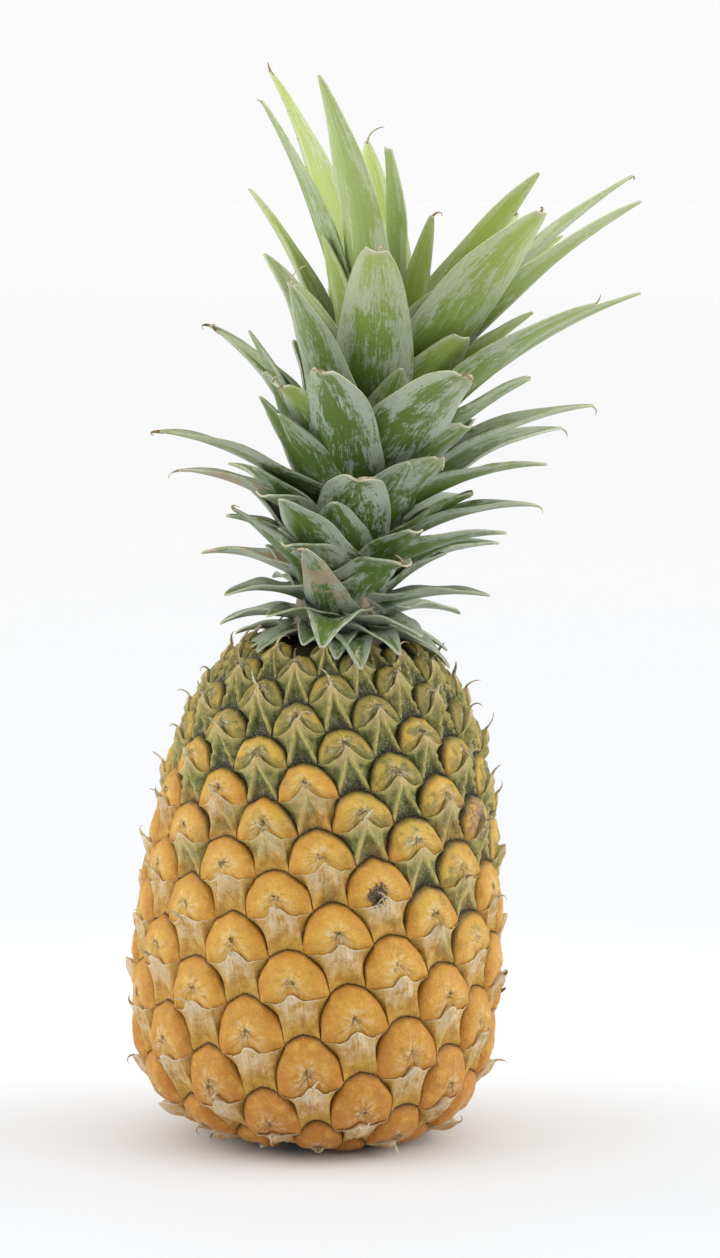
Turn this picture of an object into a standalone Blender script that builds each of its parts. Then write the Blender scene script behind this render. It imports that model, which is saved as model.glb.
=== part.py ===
"""A whole pineapple with its crown, standing on its cut stalk.

Every organ of the plant, the eyes of the fruit and the leaves of the crown, sits on one
spiral that turns by the golden angle from each organ to the next. Organ 0 is an eye at
the middle of the front. Lower organs have negative numbers, and the crown's leaves carry
on upwards from where the last eyes are. Units are metres, +Z is up and -Y is the front.
"""

from math import cos, pi, radians, remainder, sin

import bmesh
import bpy
import numpy as np
from mathutils import Matrix, Vector

# ---- driving dimensions of the fruit
FRUIT_RADIUS = 0.0618          # at the fruit's widest, measured to the middle of the eyes
FRUIT_HEIGHT = 0.1716
WIDEST_HEIGHT = 0.0648
BOTTOM_FULLNESS = 3.3          # exponent of the profile's lower curve: 2 is an ellipse
TOP_FULLNESS = 3.0
TOP_TAPER = 0.13               # share of its radius that the fruit loses up to its top
BOTTOM_FLAT = 0.0031           # radius of the flat at the very bottom
FRUIT_LEAN = radians(3.8)      # the fruit stands leaning to +X
FRUIT_LIFT = 0.0003            # the leaning fruit is raised by this, and presses flat on its feet

# ---- the spiral of organs
TURN = radians(-137.464)
FIRST_ANGLE = radians(6.0)     # organ 0, measured from the front towards +X
FIRST_ARC = 0.1152             # organ 0, along the profile from the bottom
LOWEST_EYE = -63
HIGHEST_EYE = 98
LOWEST_LEAF = 92               # the last eyes sit in between the lowest leaves
EYE_AREA = 480e-6              # skin that organ 0 covers
EYE_AREA_STEP = 3.0e-6         # each organ covers this much less than the one below
FULL_SIZE_RADIUS_LOW = 0.042   # where the skin is narrower than this, its organs shrink with
FULL_SIZE_RADIUS_HIGH = 0.030  # it, at the bottom of the fruit and at its top
LOWEST_SKIN_RADIUS = 0.009     # the eyes stop here, round the stalk
HIGHEST_SKIN_RADIUS = 0.019    # and here, under the crown
SEAT_DEPTH = 0.0034            # the crown's foot sits in a dip this deep

# ---- relief of one eye, for an eye of average size, from the level of the eyes' middles
CREASE_DEPTH = 0.0034
CORNER_DEPTH = 0.0019
CREASE_ROUNDNESS = 0.7         # exponent of the dip of a crease between two corners
DOME_RISE = 0.0009
DOME_FALL = 0.9                # share of its rise that a dome loses towards its sides
DOME_SHOULDER = 0.34           # share of a dome's height at which it is full
DOME_ROUND_OFF = 3.4           # exponents of the dome's fall into the crease above
DOME_ROUND_OFF_END = 0.6
DOME_START = 0.03              # the dome starts this share of the eye above the bract's edge
BRACT_EDGE = 0.495             # share of the eye's height at which the bract's free edge starts
EDGE_SAG = 0.10                # and how far it sags on each side of the tip
EDGE_SAG_ROUNDNESS = 0.8
BRACT_RISE = 0.0003
BRACT_FALL = 0.0010            # the free edge comes down by this at the eye's side corners
BRACT_SLOPE = 0.7              # exponent of the bract's slope up from the crease below
BRACT_LEDGE = 0.0009           # the free edge of a bract stands this far off the dome
TIP_HALF_WIDTH = 0.34          # of the bract's tip, as a share of half the eye's width
TIP_REACH = 0.20               # how far up the dome the tip reaches, as a share of the eye
TIP_SHAPE = 1.2                # exponent: 1 is a plain triangle, more is a slimmer point
TIP_START = 0.35               # share of the way up the fruit at which the tips start to grow
TIP_RISE_LOW = 0.0010          # the bract's pointed tip, at the bottom of the fruit
TIP_RISE_HIGH = 0.0034         # and at the top
BORDER_BULGE = 0.15            # share of a border's length that it bows upwards
BORDER_STEPS = 2               # facets along each of the three borders over an eye
BRACT_STEPS = 2                # and up its bract
DOME_STEPS = 2                 # and up its dome

# ---- stalk
STALK_RADIUS = 0.012
STALK_HEIGHT = 0.008
STALK_BEVEL = 0.0006
GAP = 0.0003

# ---- crown: organs above the last eye are leaves, on a short stem that bends to +X
LEAF_COUNT = 64
STEM_HEIGHT = 0.088
STEM_BASE_RADIUS = 0.0160
STEM_TOP_RADIUS = 0.0070
STEM_FOOT = 0.0026             # height of the cone under the stem, which fills the fruit's dip
STEM_BEND = radians(15.0)      # how much further than the fruit the stem leans at its top
STEM_SIDES = 16
STEM_RINGS = 6
LEAF_EDGE_THICKNESS = 0.0007
LEAF_RIB_THICKNESS = 0.0018
LEAF_WIDTH = 0.024             # of the lowest leaf
LEAF_WIDENING = 0.003          # how much wider the large leaves are
LEAF_NARROWING = 0.010         # how much narrower the young leaves in the middle are
LEAF_BASE_WIDTH = 0.60         # share of its width that a leaf has at the stem
LEAF_FULL_WIDTH_AT = 0.28      # share of its length at which it has its full width
LEAF_TAPER = 2.6               # exponents of its taper towards the tip
LEAF_TAPER_END = 0.85
LEAF_TROUGH = 0.22             # depth of its channel at the stem, as a share of its width
LEAF_TROUGH_LOSS = 0.08        # and how much shallower the channel is at the tip
LEAF_LIFT = 58.0               # degrees from the stem at which the lowest leaf starts
LEAF_LIFT_LOSS = 46.0          # the topmost leaf starts this much steeper
LEAF_CURL = 52.0               # degrees by which the lowest leaf bends over its length
LEAF_CURL_LOSS = 36.0
LEAF_CURL_SHAPE = 1.3          # exponent: above 1, a leaf bends most near its tip
LEAF_END_WIDTH = 0.0012
YOUNG_LEAVES_FROM = 0.85       # share of the way up the crown
SHORT_LEAF = 0.065             # a leaf under this length is made of four lengths, not five
SMALL_LEAF_LENGTH = 0.030      # the lowest leaf, measured from the stem's middle
LARGE_LEAF_LENGTH = 0.128      # the longest leaf, near the top
INNER_LEAF_LENGTH = 0.060      # the youngest leaf, in the middle

# Leaves that differ from the rule, by their number from the lowest one up. Each value is
# a factor (length, width), an angle in degrees (lift, curl, turn) or a width in metres at
# the end of a leaf that has lost its tip (end).
LEAF_CHANGES = {
    0: {"length": 1.10, "lift": -10, "curl": 6},
    2: {"length": 1.05, "lift": 2, "curl": 4},
    3: {"length": 1.05, "lift": 14},
    4: {"length": 1.40, "lift": 14, "curl": -14},
    5: {"length": 1.05, "lift": 14, "curl": 14},
    7: {"length": 1.20, "lift": 6, "curl": -14},
    8: {"lift": 10},
    10: {"length": 1.02, "lift": -8, "end": 0.004},
    11: {"length": 1.08, "lift": 8},
    12: {"length": 1.15, "curl": -10},
    13: {"length": 0.90, "lift": -3, "end": 0.003},
    15: {"length": 1.15, "lift": 2, "curl": -12},
    16: {"length": 0.76, "lift": -2},
    17: {"length": 1.20},
    18: {"length": 1.06, "lift": -10, "turn": -6, "end": 0.006},
    21: {"length": 0.66, "lift": 0, "end": 0.006},
    23: {"length": 0.78, "lift": -8, "turn": -4, "curl": -15, "end": 0.004},
    24: {"length": 0.80, "lift": 14},
    25: {"length": 1.20},
    26: {"length": 1.20, "lift": -6, "end": 0.006},
    28: {"length": 0.84, "lift": 4},
    29: {"length": 0.88, "lift": 18},
    31: {"length": 1.06, "width": 1.1, "end": 0.006},
    32: {"length": 0.92},
    33: {"length": 0.93, "lift": 5},
    34: {"length": 0.70, "lift": 6, "end": 0.006},
    36: {"length": 1.12, "lift": -4},
    37: {"length": 0.70, "curl": 10},
    38: {"length": 0.72},
    39: {"turn": -9, "curl": -6, "end": 0.007},
    40: {"length": 0.90, "lift": 4},
    42: {"length": 0.65, "lift": -4, "end": 0.006},
    43: {"length": 0.70},
    44: {"length": 1.00, "width": 1.12, "lift": -3, "curl": -6, "end": 0.004},
    45: {"length": 0.85, "lift": -1},
    46: {"length": 0.85, "lift": -8},
    47: {"length": 0.55},
    50: {"length": 0.96},
    51: {"length": 0.80},
    52: {"length": 0.50},
    53: {"length": 1.04, "lift": 6, "curl": 3},
    54: {"length": 0.93},
    55: {"length": 1.04, "lift": 7, "curl": 2},
    56: {"length": 0.55},
    57: {"length": 0.92, "lift": -5},
    58: {"length": 0.70},
    59: {"length": 0.85},
    60: {"length": 0.92, "width": 0.6},
    63: {"length": 1.35, "width": 0.8, "end": 0.005},
}


def clear_scene():
    for item in list(bpy.data.objects):
        bpy.data.objects.remove(item, do_unlink=True)


def material(name, colour, roughness):
    made = bpy.data.materials.new(name)
    made.use_nodes = True
    shader = made.node_tree.nodes["Principled BSDF"]
    shader.inputs["Base Color"].default_value = (*colour, 1.0)
    shader.inputs["Roughness"].default_value = roughness
    shader.inputs["Metallic"].default_value = 0.0
    made.diffuse_color = (*colour, 1.0)
    return made


def smooth_step(low, high, value):
    share = min(max((value - low) / (high - low), 0.0), 1.0)
    return share * share * (3.0 - 2.0 * share)


# ---------------------------------------------------------------- profile of the fruit

def fruit_profile(steps=600):
    """Radius, height and arc length along the fruit's side, from bottom to top."""
    quarter = np.linspace(0.0, pi / 2.0, steps)
    power = 2.0 / BOTTOM_FULLNESS
    low_radius = BOTTOM_FLAT + (FRUIT_RADIUS - BOTTOM_FLAT) * np.sin(quarter) ** power
    low_height = WIDEST_HEIGHT * (1.0 - np.abs(np.cos(quarter)) ** power)
    power = 2.0 / TOP_FULLNESS
    climb = np.sin(quarter) ** power
    top_radius = FRUIT_RADIUS * np.abs(np.cos(quarter)) ** power * (1.0 - TOP_TAPER * climb)
    top_height = WIDEST_HEIGHT + (FRUIT_HEIGHT - WIDEST_HEIGHT) * climb
    radius = np.concatenate([low_radius, top_radius[1:]])
    height = np.concatenate([low_height, top_height[1:]])
    arc = np.concatenate([[0.0], np.cumsum(np.hypot(np.diff(radius), np.diff(height)))])
    return radius, height, arc


PROFILE_RADIUS, PROFILE_HEIGHT, PROFILE_ARC = fruit_profile()
ARC_LENGTH = PROFILE_ARC[-1]
PROFILE_STEP = 0.0005          # step along the profile for the direction of its normal


def skin_radius(arc):
    return float(np.interp(arc, PROFILE_ARC, PROFILE_RADIUS))


def skin_height(arc):
    return float(np.interp(arc, PROFILE_ARC, PROFILE_HEIGHT))


def arc_at_radius(radius, from_top):
    """Arc length at which the skin has this radius, on the lower or the upper curve."""
    widest = int(np.argmax(PROFILE_RADIUS))
    if from_top:
        return float(np.interp(-radius, -PROFILE_RADIUS[widest:], PROFILE_ARC[widest:]))
    return float(np.interp(radius, PROFILE_RADIUS[:widest], PROFILE_ARC[:widest]))


WIDEST_ARC = float(PROFILE_ARC[np.argmax(PROFILE_RADIUS)])
LOWEST_ARC = arc_at_radius(LOWEST_SKIN_RADIUS, False)
HIGHEST_ARC = arc_at_radius(HIGHEST_SKIN_RADIUS, True)
CROWN_SEAT = skin_height(HIGHEST_ARC) - SEAT_DEPTH
BOTTOM_CAP_HEIGHT = 0.004


def skin_point(angle, arc, rise):
    """A point of the fruit, leaning and lifted as it stands, `rise` above its skin."""
    low = max(arc - PROFILE_STEP, 0.0)
    high = min(arc + PROFILE_STEP, ARC_LENGTH)
    along_radius = skin_radius(high) - skin_radius(low)
    along_height = skin_height(high) - skin_height(low)
    length = np.hypot(along_radius, along_height)
    radius = skin_radius(arc) + rise * along_height / length
    height = skin_height(arc) - rise * along_radius / length
    return stand(Vector((radius * sin(angle), -radius * cos(angle), height)))


def stand(point):
    """From the upright fruit's frame to the leaning, standing one."""
    leaning = Matrix.Rotation(FRUIT_LEAN, 3, "Y") @ point
    leaning.z = max(leaning.z + FRUIT_LIFT, 0.0)
    return leaning


# ---------------------------------------------------------------- spiral of the organs

def narrowness(arc):
    """Size of an organ where the skin narrows, against one of the wide parts."""
    full = FULL_SIZE_RADIUS_LOW if arc < WIDEST_ARC else FULL_SIZE_RADIUS_HIGH
    return min(skin_radius(arc) / full, 1.0)


def organ_arcs(lowest, highest):
    """Arc length of each organ: an organ takes a share of the skin equal to its area."""
    parts = 20
    arcs = {0: FIRST_ARC}
    for direction, last in ((1, highest), (-1, lowest)):
        arc = FIRST_ARC
        for number in range(0, last, direction):
            for part in range(parts):
                area = EYE_AREA - EYE_AREA_STEP * (number + direction * part / parts)
                area *= narrowness(arc) ** 3
                arc += direction * area / (2.0 * pi * skin_radius(arc)) / parts
            arcs[number + direction] = arc
    return arcs


ORGAN_ARC = organ_arcs(LOWEST_EYE - 42, HIGHEST_EYE + 21)


def organ_angle(number):
    return FIRST_ANGLE + TURN * number


def near(angle, reference):
    """The same direction, written as the angle that lies nearest to the reference."""
    return reference + remainder(angle - reference, 2.0 * pi)


def eye_scale(arc):
    """Size of the eyes at this place against organ 0."""
    organs = sorted(ORGAN_ARC)
    number = np.interp(arc, [ORGAN_ARC[organ] for organ in organs], organs)
    area_scale = ((EYE_AREA - EYE_AREA_STEP * number) / EYE_AREA) ** 0.5
    return area_scale * narrowness(arc)


def crease_rise(arc, share):
    """Level of the crease between eyes, from corner to corner, where three eyes meet."""
    dip = (4.0 * share * (1.0 - share)) ** CREASE_ROUNDNESS
    return -(CORNER_DEPTH + (CREASE_DEPTH - CORNER_DEPTH) * dip) * eye_scale(arc)


def corner(number, side):
    """Angle and arc of an eye's top left (-1) or top right (1) corner.

    On this spiral an eye touches the 8th, 13th and 21st organs above and below it, and a
    corner is the middle of three organs that touch each other.
    """
    around = (number, number + (8 if side < 0 else 13), number + 21)
    home = organ_angle(number)
    angle = sum(near(organ_angle(organ), home) for organ in around) / 3.0
    arc = sum(ORGAN_ARC[organ] for organ in around) / 3.0
    return angle, min(max(arc, LOWEST_ARC), HIGHEST_ARC)


def border(number, part):
    """Points (angle, arc, rise) of one of the three borders over the top of an eye."""
    ends = {
        "left": ((number - 13, 1), (number, -1)),
        "top": ((number, -1), (number, 1)),
        "right": ((number, 1), (number - 8, -1)),
    }[part]
    home = organ_angle(number)
    (start_angle, start_arc), (end_angle, end_arc) = (corner(*end) for end in ends)
    start_angle = near(start_angle, home)
    end_angle = near(end_angle, home)
    radius = skin_radius((start_arc + end_arc) / 2.0)
    points = []
    for step in range(BORDER_STEPS + 1):
        share = step / BORDER_STEPS
        bow = BORDER_BULGE * 4.0 * share * (1.0 - share)
        angle = start_angle + (end_angle - start_angle) * share
        arc = start_arc + (end_arc - start_arc) * share
        angle -= bow * (end_arc - start_arc) / radius
        arc += bow * (end_angle - start_angle) * radius
        arc = min(max(arc, LOWEST_ARC), HIGHEST_ARC)
        points.append((angle, arc, crease_rise(arc, share)))
    return points


def joined(number, borders):
    """Borders end to end, from an eye's left corner to its right one."""
    home = organ_angle(number)
    line = []
    for owner, part in borders:
        points = border(owner, part)
        line += [(near(angle, home), arc, rise) for angle, arc, rise in points[bool(line):]]
    return line


def upper_line(number):
    return joined(number, ((number, "left"), (number, "top"), (number, "right")))


def lower_line(number):
    """An eye's lower side is the upper side of the three eyes that it stands on."""
    below = ((number - 13, "right"), (number - 21, "top"), (number - 8, "left"))
    return joined(number, below)


# ---------------------------------------------------------------- relief of an eye

def tip_rise(number):
    share = (number - LOWEST_EYE) / (HIGHEST_EYE - LOWEST_EYE)
    return TIP_RISE_LOW + (TIP_RISE_HIGH - TIP_RISE_LOW) * smooth_step(TIP_START, 1.0, share)


def bract_edge(across):
    """Share of the eye's height at which the bract's free edge runs, up to its tip."""
    side = abs(across)
    sag = EDGE_SAG * sin(pi * side) ** EDGE_SAG_ROUNDNESS if side < 1.0 else 0.0
    return BRACT_EDGE - sag + TIP_REACH * max(1.0 - side / TIP_HALF_WIDTH, 0.0) ** TIP_SHAPE


def bract_rise(across, along, number, crease):
    """Rise of the bract, from its foot in the crease (along 0) to its free edge (1)."""
    side = abs(across)
    edge = BRACT_RISE - BRACT_FALL * side ** 3
    edge += tip_rise(number) * max(1.0 - side / TIP_HALF_WIDTH, 0.0) ** 2
    return crease + (edge - crease) * along ** BRACT_SLOPE


def dome_rise(across, along, number, crease):
    """Rise of the dome, from behind the bract's edge (along 0) to the crease above (1)."""
    side = abs(across)
    foot = BRACT_RISE - BRACT_FALL * side ** 3 - BRACT_LEDGE
    full = DOME_RISE * (1.0 - DOME_FALL * side ** 2) - BRACT_FALL * side ** 3
    level = foot + (full - foot) * smooth_step(0.0, DOME_SHOULDER, along)
    round_off = (1.0 - along ** DOME_ROUND_OFF) ** DOME_ROUND_OFF_END
    return crease + (level - crease) * round_off


def eye_rows(number):
    """Rows of points over one eye, from its lower line to its upper line."""
    lower = lower_line(number)
    upper = upper_line(number)
    columns = 3 * BORDER_STEPS
    scale = eye_scale(ORGAN_ARC[number])

    def row(along, rise, on_bract):
        points = []
        for column in range(1, columns):
            across = 2.0 * column / columns - 1.0
            edge = bract_edge(across)
            start = edge + DOME_START
            share = edge * along if on_bract else start + (1.0 - start) * along
            low_angle, low_arc, low_rise = lower[column]
            high_angle, high_arc, high_rise = upper[column]
            crease = (low_rise if on_bract else high_rise) / scale
            points.append(skin_point(
                low_angle + (high_angle - low_angle) * share,
                low_arc + (high_arc - low_arc) * share,
                rise(across, along, number, crease) * scale,
            ))
        return points

    rows = [[skin_point(*point) for point in lower[1:-1]]]
    rows += [row(step / BRACT_STEPS, bract_rise, True) for step in range(1, BRACT_STEPS + 1)]
    rows += [row(step / DOME_STEPS, dome_rise, False) for step in range(DOME_STEPS)]
    rows.append([skin_point(*point) for point in upper[1:-1]])
    return skin_point(*lower[0]), rows, skin_point(*lower[-1])


# ---------------------------------------------------------------- fruit

def add_eye(mesh, number):
    left, rows, right = eye_rows(number)
    left_vertex = mesh.verts.new(left)
    right_vertex = mesh.verts.new(right)
    grid = [[mesh.verts.new(point) for point in row] for row in rows]
    for low, high in zip(grid, grid[1:]):
        mesh.faces.new((left_vertex, low[0], high[0]))
        mesh.faces.new((right_vertex, high[-1], low[-1]))
        for column in range(len(low) - 1):
            a, b = low[column], low[column + 1]
            c, d = high[column + 1], high[column]
            if (a.co - c.co).length < (b.co - d.co).length:
                mesh.faces.new((a, b, c))
                mesh.faces.new((a, c, d))
            else:
                mesh.faces.new((a, b, d))
                mesh.faces.new((b, c, d))


def open_loop(mesh, top):
    """The open edges at one end, each as (start, end) in the order that a new face needs."""
    middle_height = FRUIT_HEIGHT / 2.0
    ends = []
    for edge in mesh.edges:
        if len(edge.link_faces) == 1 and (edge.verts[0].co.z > middle_height) == top:
            corner_of_face = edge.link_loops[0]
            ends.append((corner_of_face.link_loop_next.vert, corner_of_face.vert))
    return ends


def cap(mesh, loop, centre):
    """Closes an open end with a fan round a centre point."""
    middle = mesh.verts.new(centre)
    for start, end in loop:
        mesh.faces.new((start, end, middle))


def new_object(name, mesh, surface):
    data = bpy.data.meshes.new(name)
    mesh.to_mesh(data)
    mesh.free()
    made = bpy.data.objects.new(name, data)
    data.materials.append(surface)
    bpy.context.collection.objects.link(made)
    return made


def make_fruit(surface):
    mesh = bmesh.new()
    for number in range(LOWEST_EYE, HIGHEST_EYE + 1):
        add_eye(mesh, number)
    bmesh.ops.remove_doubles(mesh, verts=mesh.verts, dist=0.00002)
    cap(mesh, open_loop(mesh, False), stand(Vector((0.0, 0.0, BOTTOM_CAP_HEIGHT))))
    cap(mesh, open_loop(mesh, True), stand(Vector((0.0, 0.0, CROWN_SEAT))))
    fruit = new_object("fruit", mesh, surface)
    cutter = make_recess_cutter()
    cut = fruit.modifiers.new("stalk recess", "BOOLEAN")
    cut.operation = "DIFFERENCE"
    cut.object = cutter
    cut.solver = "EXACT"
    return fruit


def make_recess_cutter():
    """The stalk stands in a plain round recess, a gap wider and higher than itself."""
    below = 0.002
    bpy.ops.mesh.primitive_cylinder_add(
        vertices=32, radius=STALK_RADIUS + GAP, depth=STALK_HEIGHT + GAP + below,
        location=(0.0, 0.0, (STALK_HEIGHT + GAP - below) / 2.0),
    )
    cutter = bpy.context.active_object
    cutter.name = "stalk recess cutter"
    cutter.hide_render = True
    cutter.display_type = "WIRE"
    return cutter


# ---------------------------------------------------------------- stalk

def make_stalk(surface):
    bpy.ops.mesh.primitive_cylinder_add(
        vertices=32, radius=STALK_RADIUS, depth=STALK_HEIGHT,
        location=(0.0, 0.0, STALK_HEIGHT / 2.0),
    )
    stalk = bpy.context.active_object
    stalk.name = "stalk"
    stalk.data.materials.append(surface)
    edge = stalk.modifiers.new("rounded rim", "BEVEL")
    edge.width = STALK_BEVEL
    edge.segments = 2
    edge.limit_method = "ANGLE"
    return stalk


# ---------------------------------------------------------------- crown

def stem_frame(height):
    """Middle of the stem at this height, and its directions: along, right and front."""
    share = height / STEM_HEIGHT
    lean = FRUIT_LEAN + STEM_BEND * share
    middle_lean = FRUIT_LEAN + STEM_BEND * share / 2.0
    base = stand(Vector((0.0, 0.0, CROWN_SEAT + GAP)))
    middle = base + height * Vector((sin(middle_lean), 0.0, cos(middle_lean)))
    along = Vector((sin(lean), 0.0, cos(lean)))
    right = Vector((cos(lean), 0.0, -sin(lean)))
    return middle, along, right, Vector((0.0, -1.0, 0.0))


def stem_radius(height):
    share = height / STEM_HEIGHT
    return STEM_BASE_RADIUS + (STEM_TOP_RADIUS - STEM_BASE_RADIUS) * share ** 1.2


def make_stem(surface):
    mesh = bmesh.new()
    rings = []
    for ring in range(STEM_RINGS + 1):
        height = STEM_FOOT + (STEM_HEIGHT - STEM_FOOT) * ring / STEM_RINGS
        middle, _, right, front = stem_frame(height)
        radius = stem_radius(height)
        angles = [2.0 * pi * side / STEM_SIDES for side in range(STEM_SIDES)]
        rings.append([
            mesh.verts.new(middle + radius * (sin(angle) * right + cos(angle) * front))
            for angle in angles
        ])
    for low, high in zip(rings, rings[1:]):
        for side in range(STEM_SIDES):
            after = (side + 1) % STEM_SIDES
            mesh.faces.new((low[side], low[after], high[after], high[side]))
    foot = mesh.verts.new(stem_frame(0.0)[0])
    for side in range(STEM_SIDES):
        mesh.faces.new((rings[0][(side + 1) % STEM_SIDES], rings[0][side], foot))
    mesh.faces.new(rings[-1])
    return new_object("crown", mesh, surface)


def leaf_shape(leaf):
    """Sizes and angles of a leaf, by how far up the crown it grows."""
    share = leaf / (LEAF_COUNT - 1)
    grown = min(share / YOUNG_LEAVES_FROM, 1.0)
    grown = 0.55 * smooth_step(0.0, 1.0, grown) + 0.45 * grown
    young = smooth_step(YOUNG_LEAVES_FROM, 1.0, share)
    length = SMALL_LEAF_LENGTH + (LARGE_LEAF_LENGTH - SMALL_LEAF_LENGTH) * grown
    length += (INNER_LEAF_LENGTH - LARGE_LEAF_LENGTH) * young
    shape = {
        "height": STEM_HEIGHT * (0.015 + 0.95 * share ** 1.1),
        "length": length,
        "width": LEAF_WIDTH + LEAF_WIDENING * grown - LEAF_NARROWING * young,
        "lift": LEAF_LIFT - LEAF_LIFT_LOSS * share,
        "curl": LEAF_CURL - LEAF_CURL_LOSS * share,
        "turn": 0.0,
        "end": LEAF_END_WIDTH,
    }
    for name, change in LEAF_CHANGES.get(leaf, {}).items():
        if name in ("length", "width"):
            shape[name] *= change
        elif name == "end":
            shape[name] = change
        else:
            shape[name] += change
    return shape


def leaf_stations(leaf, count):
    """Middle, outward-bending direction, blade direction and size at steps along a leaf."""
    shape = leaf_shape(leaf)
    _, along, right, front = stem_frame(shape["height"])
    angle = organ_angle(LOWEST_LEAF + leaf) + radians(shape["turn"])
    outward = sin(angle) * right + cos(angle) * front
    across = along.cross(outward)
    point = stem_frame(shape["height"])[0] + outward * stem_radius(shape["height"]) * 0.4
    stations = []
    for step in range(count + 1):
        share = step / count
        tilt = radians(shape["lift"] + shape["curl"] * share ** LEAF_CURL_SHAPE)
        heading = cos(tilt) * along + sin(tilt) * outward
        if step:
            point = point + heading * shape["length"] / count
        inner = heading.cross(across)
        taper = (1.0 - share ** LEAF_TAPER) ** LEAF_TAPER_END
        widened = smooth_step(0.0, LEAF_FULL_WIDTH_AT, share)
        width = shape["width"] * taper * (LEAF_BASE_WIDTH + (1.0 - LEAF_BASE_WIDTH) * widened)
        width += shape["end"] * smooth_step(0.0, 1.0, share)
        stations.append((point, across, inner, width, share))
    return stations


def make_leaf(leaf, surface):
    """One blade: a shallow channel with a thick rib and thin margins."""
    mesh = bmesh.new()
    count = 4 if leaf_shape(leaf)["length"] < SHORT_LEAF else 5
    rings = []
    for point, blade, inner, width, share in leaf_stations(leaf, count):
        trough = width * (LEAF_TROUGH - LEAF_TROUGH_LOSS * share)
        rib = LEAF_RIB_THICKNESS * (1.0 - 0.5 * share) / 2.0
        edge = LEAF_EDGE_THICKNESS / 2.0
        section = (
            (-width / 2.0, trough + edge), (0.0, rib), (width / 2.0, trough + edge),
            (width / 2.0, trough - edge), (0.0, -rib), (-width / 2.0, trough - edge),
        )
        rings.append([mesh.verts.new(point + x * blade + y * inner) for x, y in section])
    for low, high in zip(rings, rings[1:]):
        for side in range(6):
            after = (side + 1) % 6
            mesh.faces.new((low[side], low[after], high[after], high[side]))
    mesh.faces.new(reversed(rings[0]))
    mesh.faces.new(rings[-1])
    bmesh.ops.triangulate(mesh, faces=mesh.faces)
    bmesh.ops.recalc_face_normals(mesh, faces=mesh.faces)
    return new_object("leaf", mesh, surface)


def keep_body(made):
    """Drops the sealed hollows and loose scraps that fusing leaves in or off the body."""
    mesh = bmesh.new()
    mesh.from_mesh(made.data)
    unseen = set(mesh.verts)
    pieces = []
    while unseen:
        front = [unseen.pop()]
        piece = list(front)
        while front:
            vertex = front.pop()
            reached = [edge.other_vert(vertex) for edge in vertex.link_edges]
            fresh = [other for other in reached if other in unseen]
            unseen.difference_update(fresh)
            front += fresh
            piece += fresh
        pieces.append(piece)
    pieces.sort(key=len)
    for piece in pieces[:-1]:
        bmesh.ops.delete(mesh, geom=piece, context="VERTS")
    mesh.to_mesh(made.data)
    mesh.free()


def make_crown(surface):
    crown = make_stem(surface)
    leaves = bpy.data.collections.new("leaves to fuse")
    bpy.context.scene.collection.children.link(leaves)
    for leaf in range(LEAF_COUNT):
        blade = make_leaf(leaf, surface)
        bpy.context.collection.objects.unlink(blade)
        leaves.objects.link(blade)
    fuse = crown.modifiers.new("fuse leaves", "BOOLEAN")
    fuse.operation = "UNION"
    fuse.operand_type = "COLLECTION"
    fuse.collection = leaves
    fuse.solver = "MANIFOLD"
    bpy.context.view_layer.objects.active = crown
    bpy.ops.object.modifier_apply(modifier=fuse.name)
    for blade in list(leaves.objects):
        bpy.data.objects.remove(blade, do_unlink=True)
    bpy.data.collections.remove(leaves)
    keep_body(crown)
    return crown


clear_scene()
fruit = make_fruit(material("fruit skin", (0.62, 0.33, 0.06), 0.5))
stalk = make_stalk(material("cut stalk", (0.45, 0.34, 0.18), 0.8))
crown = make_crown(material("crown leaves", (0.16, 0.24, 0.07), 0.5))
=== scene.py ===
# %% [markdown]
# # A whole pineapple with its crown
# This lesson dresses a plain solid model of a pineapple with the skin, the leaves and
# the finishes of the real fruit. The solid model is the frame: it fixes the size and the
# place of the fruit, the stalk and the crown, and every piece made here follows the same
# rules of growth in metres. +Z is up and -Y is the front.

from math import cos, pi, radians, remainder, sin

import bpy
import numpy as np
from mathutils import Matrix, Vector


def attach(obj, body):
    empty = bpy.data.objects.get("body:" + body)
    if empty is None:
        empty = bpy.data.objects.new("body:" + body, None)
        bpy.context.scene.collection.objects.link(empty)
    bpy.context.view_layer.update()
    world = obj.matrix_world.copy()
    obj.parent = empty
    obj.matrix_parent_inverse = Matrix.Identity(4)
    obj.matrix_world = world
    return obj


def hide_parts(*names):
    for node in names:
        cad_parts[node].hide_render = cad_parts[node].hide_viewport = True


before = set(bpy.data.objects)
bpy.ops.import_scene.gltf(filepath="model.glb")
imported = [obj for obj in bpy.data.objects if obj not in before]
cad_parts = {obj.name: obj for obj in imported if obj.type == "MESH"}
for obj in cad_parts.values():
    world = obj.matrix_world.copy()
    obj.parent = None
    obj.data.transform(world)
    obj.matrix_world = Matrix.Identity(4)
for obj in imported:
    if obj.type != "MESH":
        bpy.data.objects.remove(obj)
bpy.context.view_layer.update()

# %% [markdown]
# ## Rules of growth
# A pineapple is a bundle of small fruits. Each eye, and each leaf above it, follows the one
# below by the golden angle, so the rows of eyes wind up the fruit in 8, 13 and 21 spirals.
# The eyes could be placed by hand, but one spiral places all of them where they grow, and
# the same spiral carries on into the crown.

# %% Profile of the fruit
FRUIT_RADIUS = 0.0618
FRUIT_HEIGHT = 0.1716
WIDEST_HEIGHT = 0.0648
BOTTOM_FULLNESS = 3.3
TOP_FULLNESS = 3.0
TOP_TAPER = 0.13
BOTTOM_FLAT = 0.0031
FRUIT_LEAN = radians(3.8)
FRUIT_LIFT = 0.0003
FLOOR_GAP = 0.0001


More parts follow.
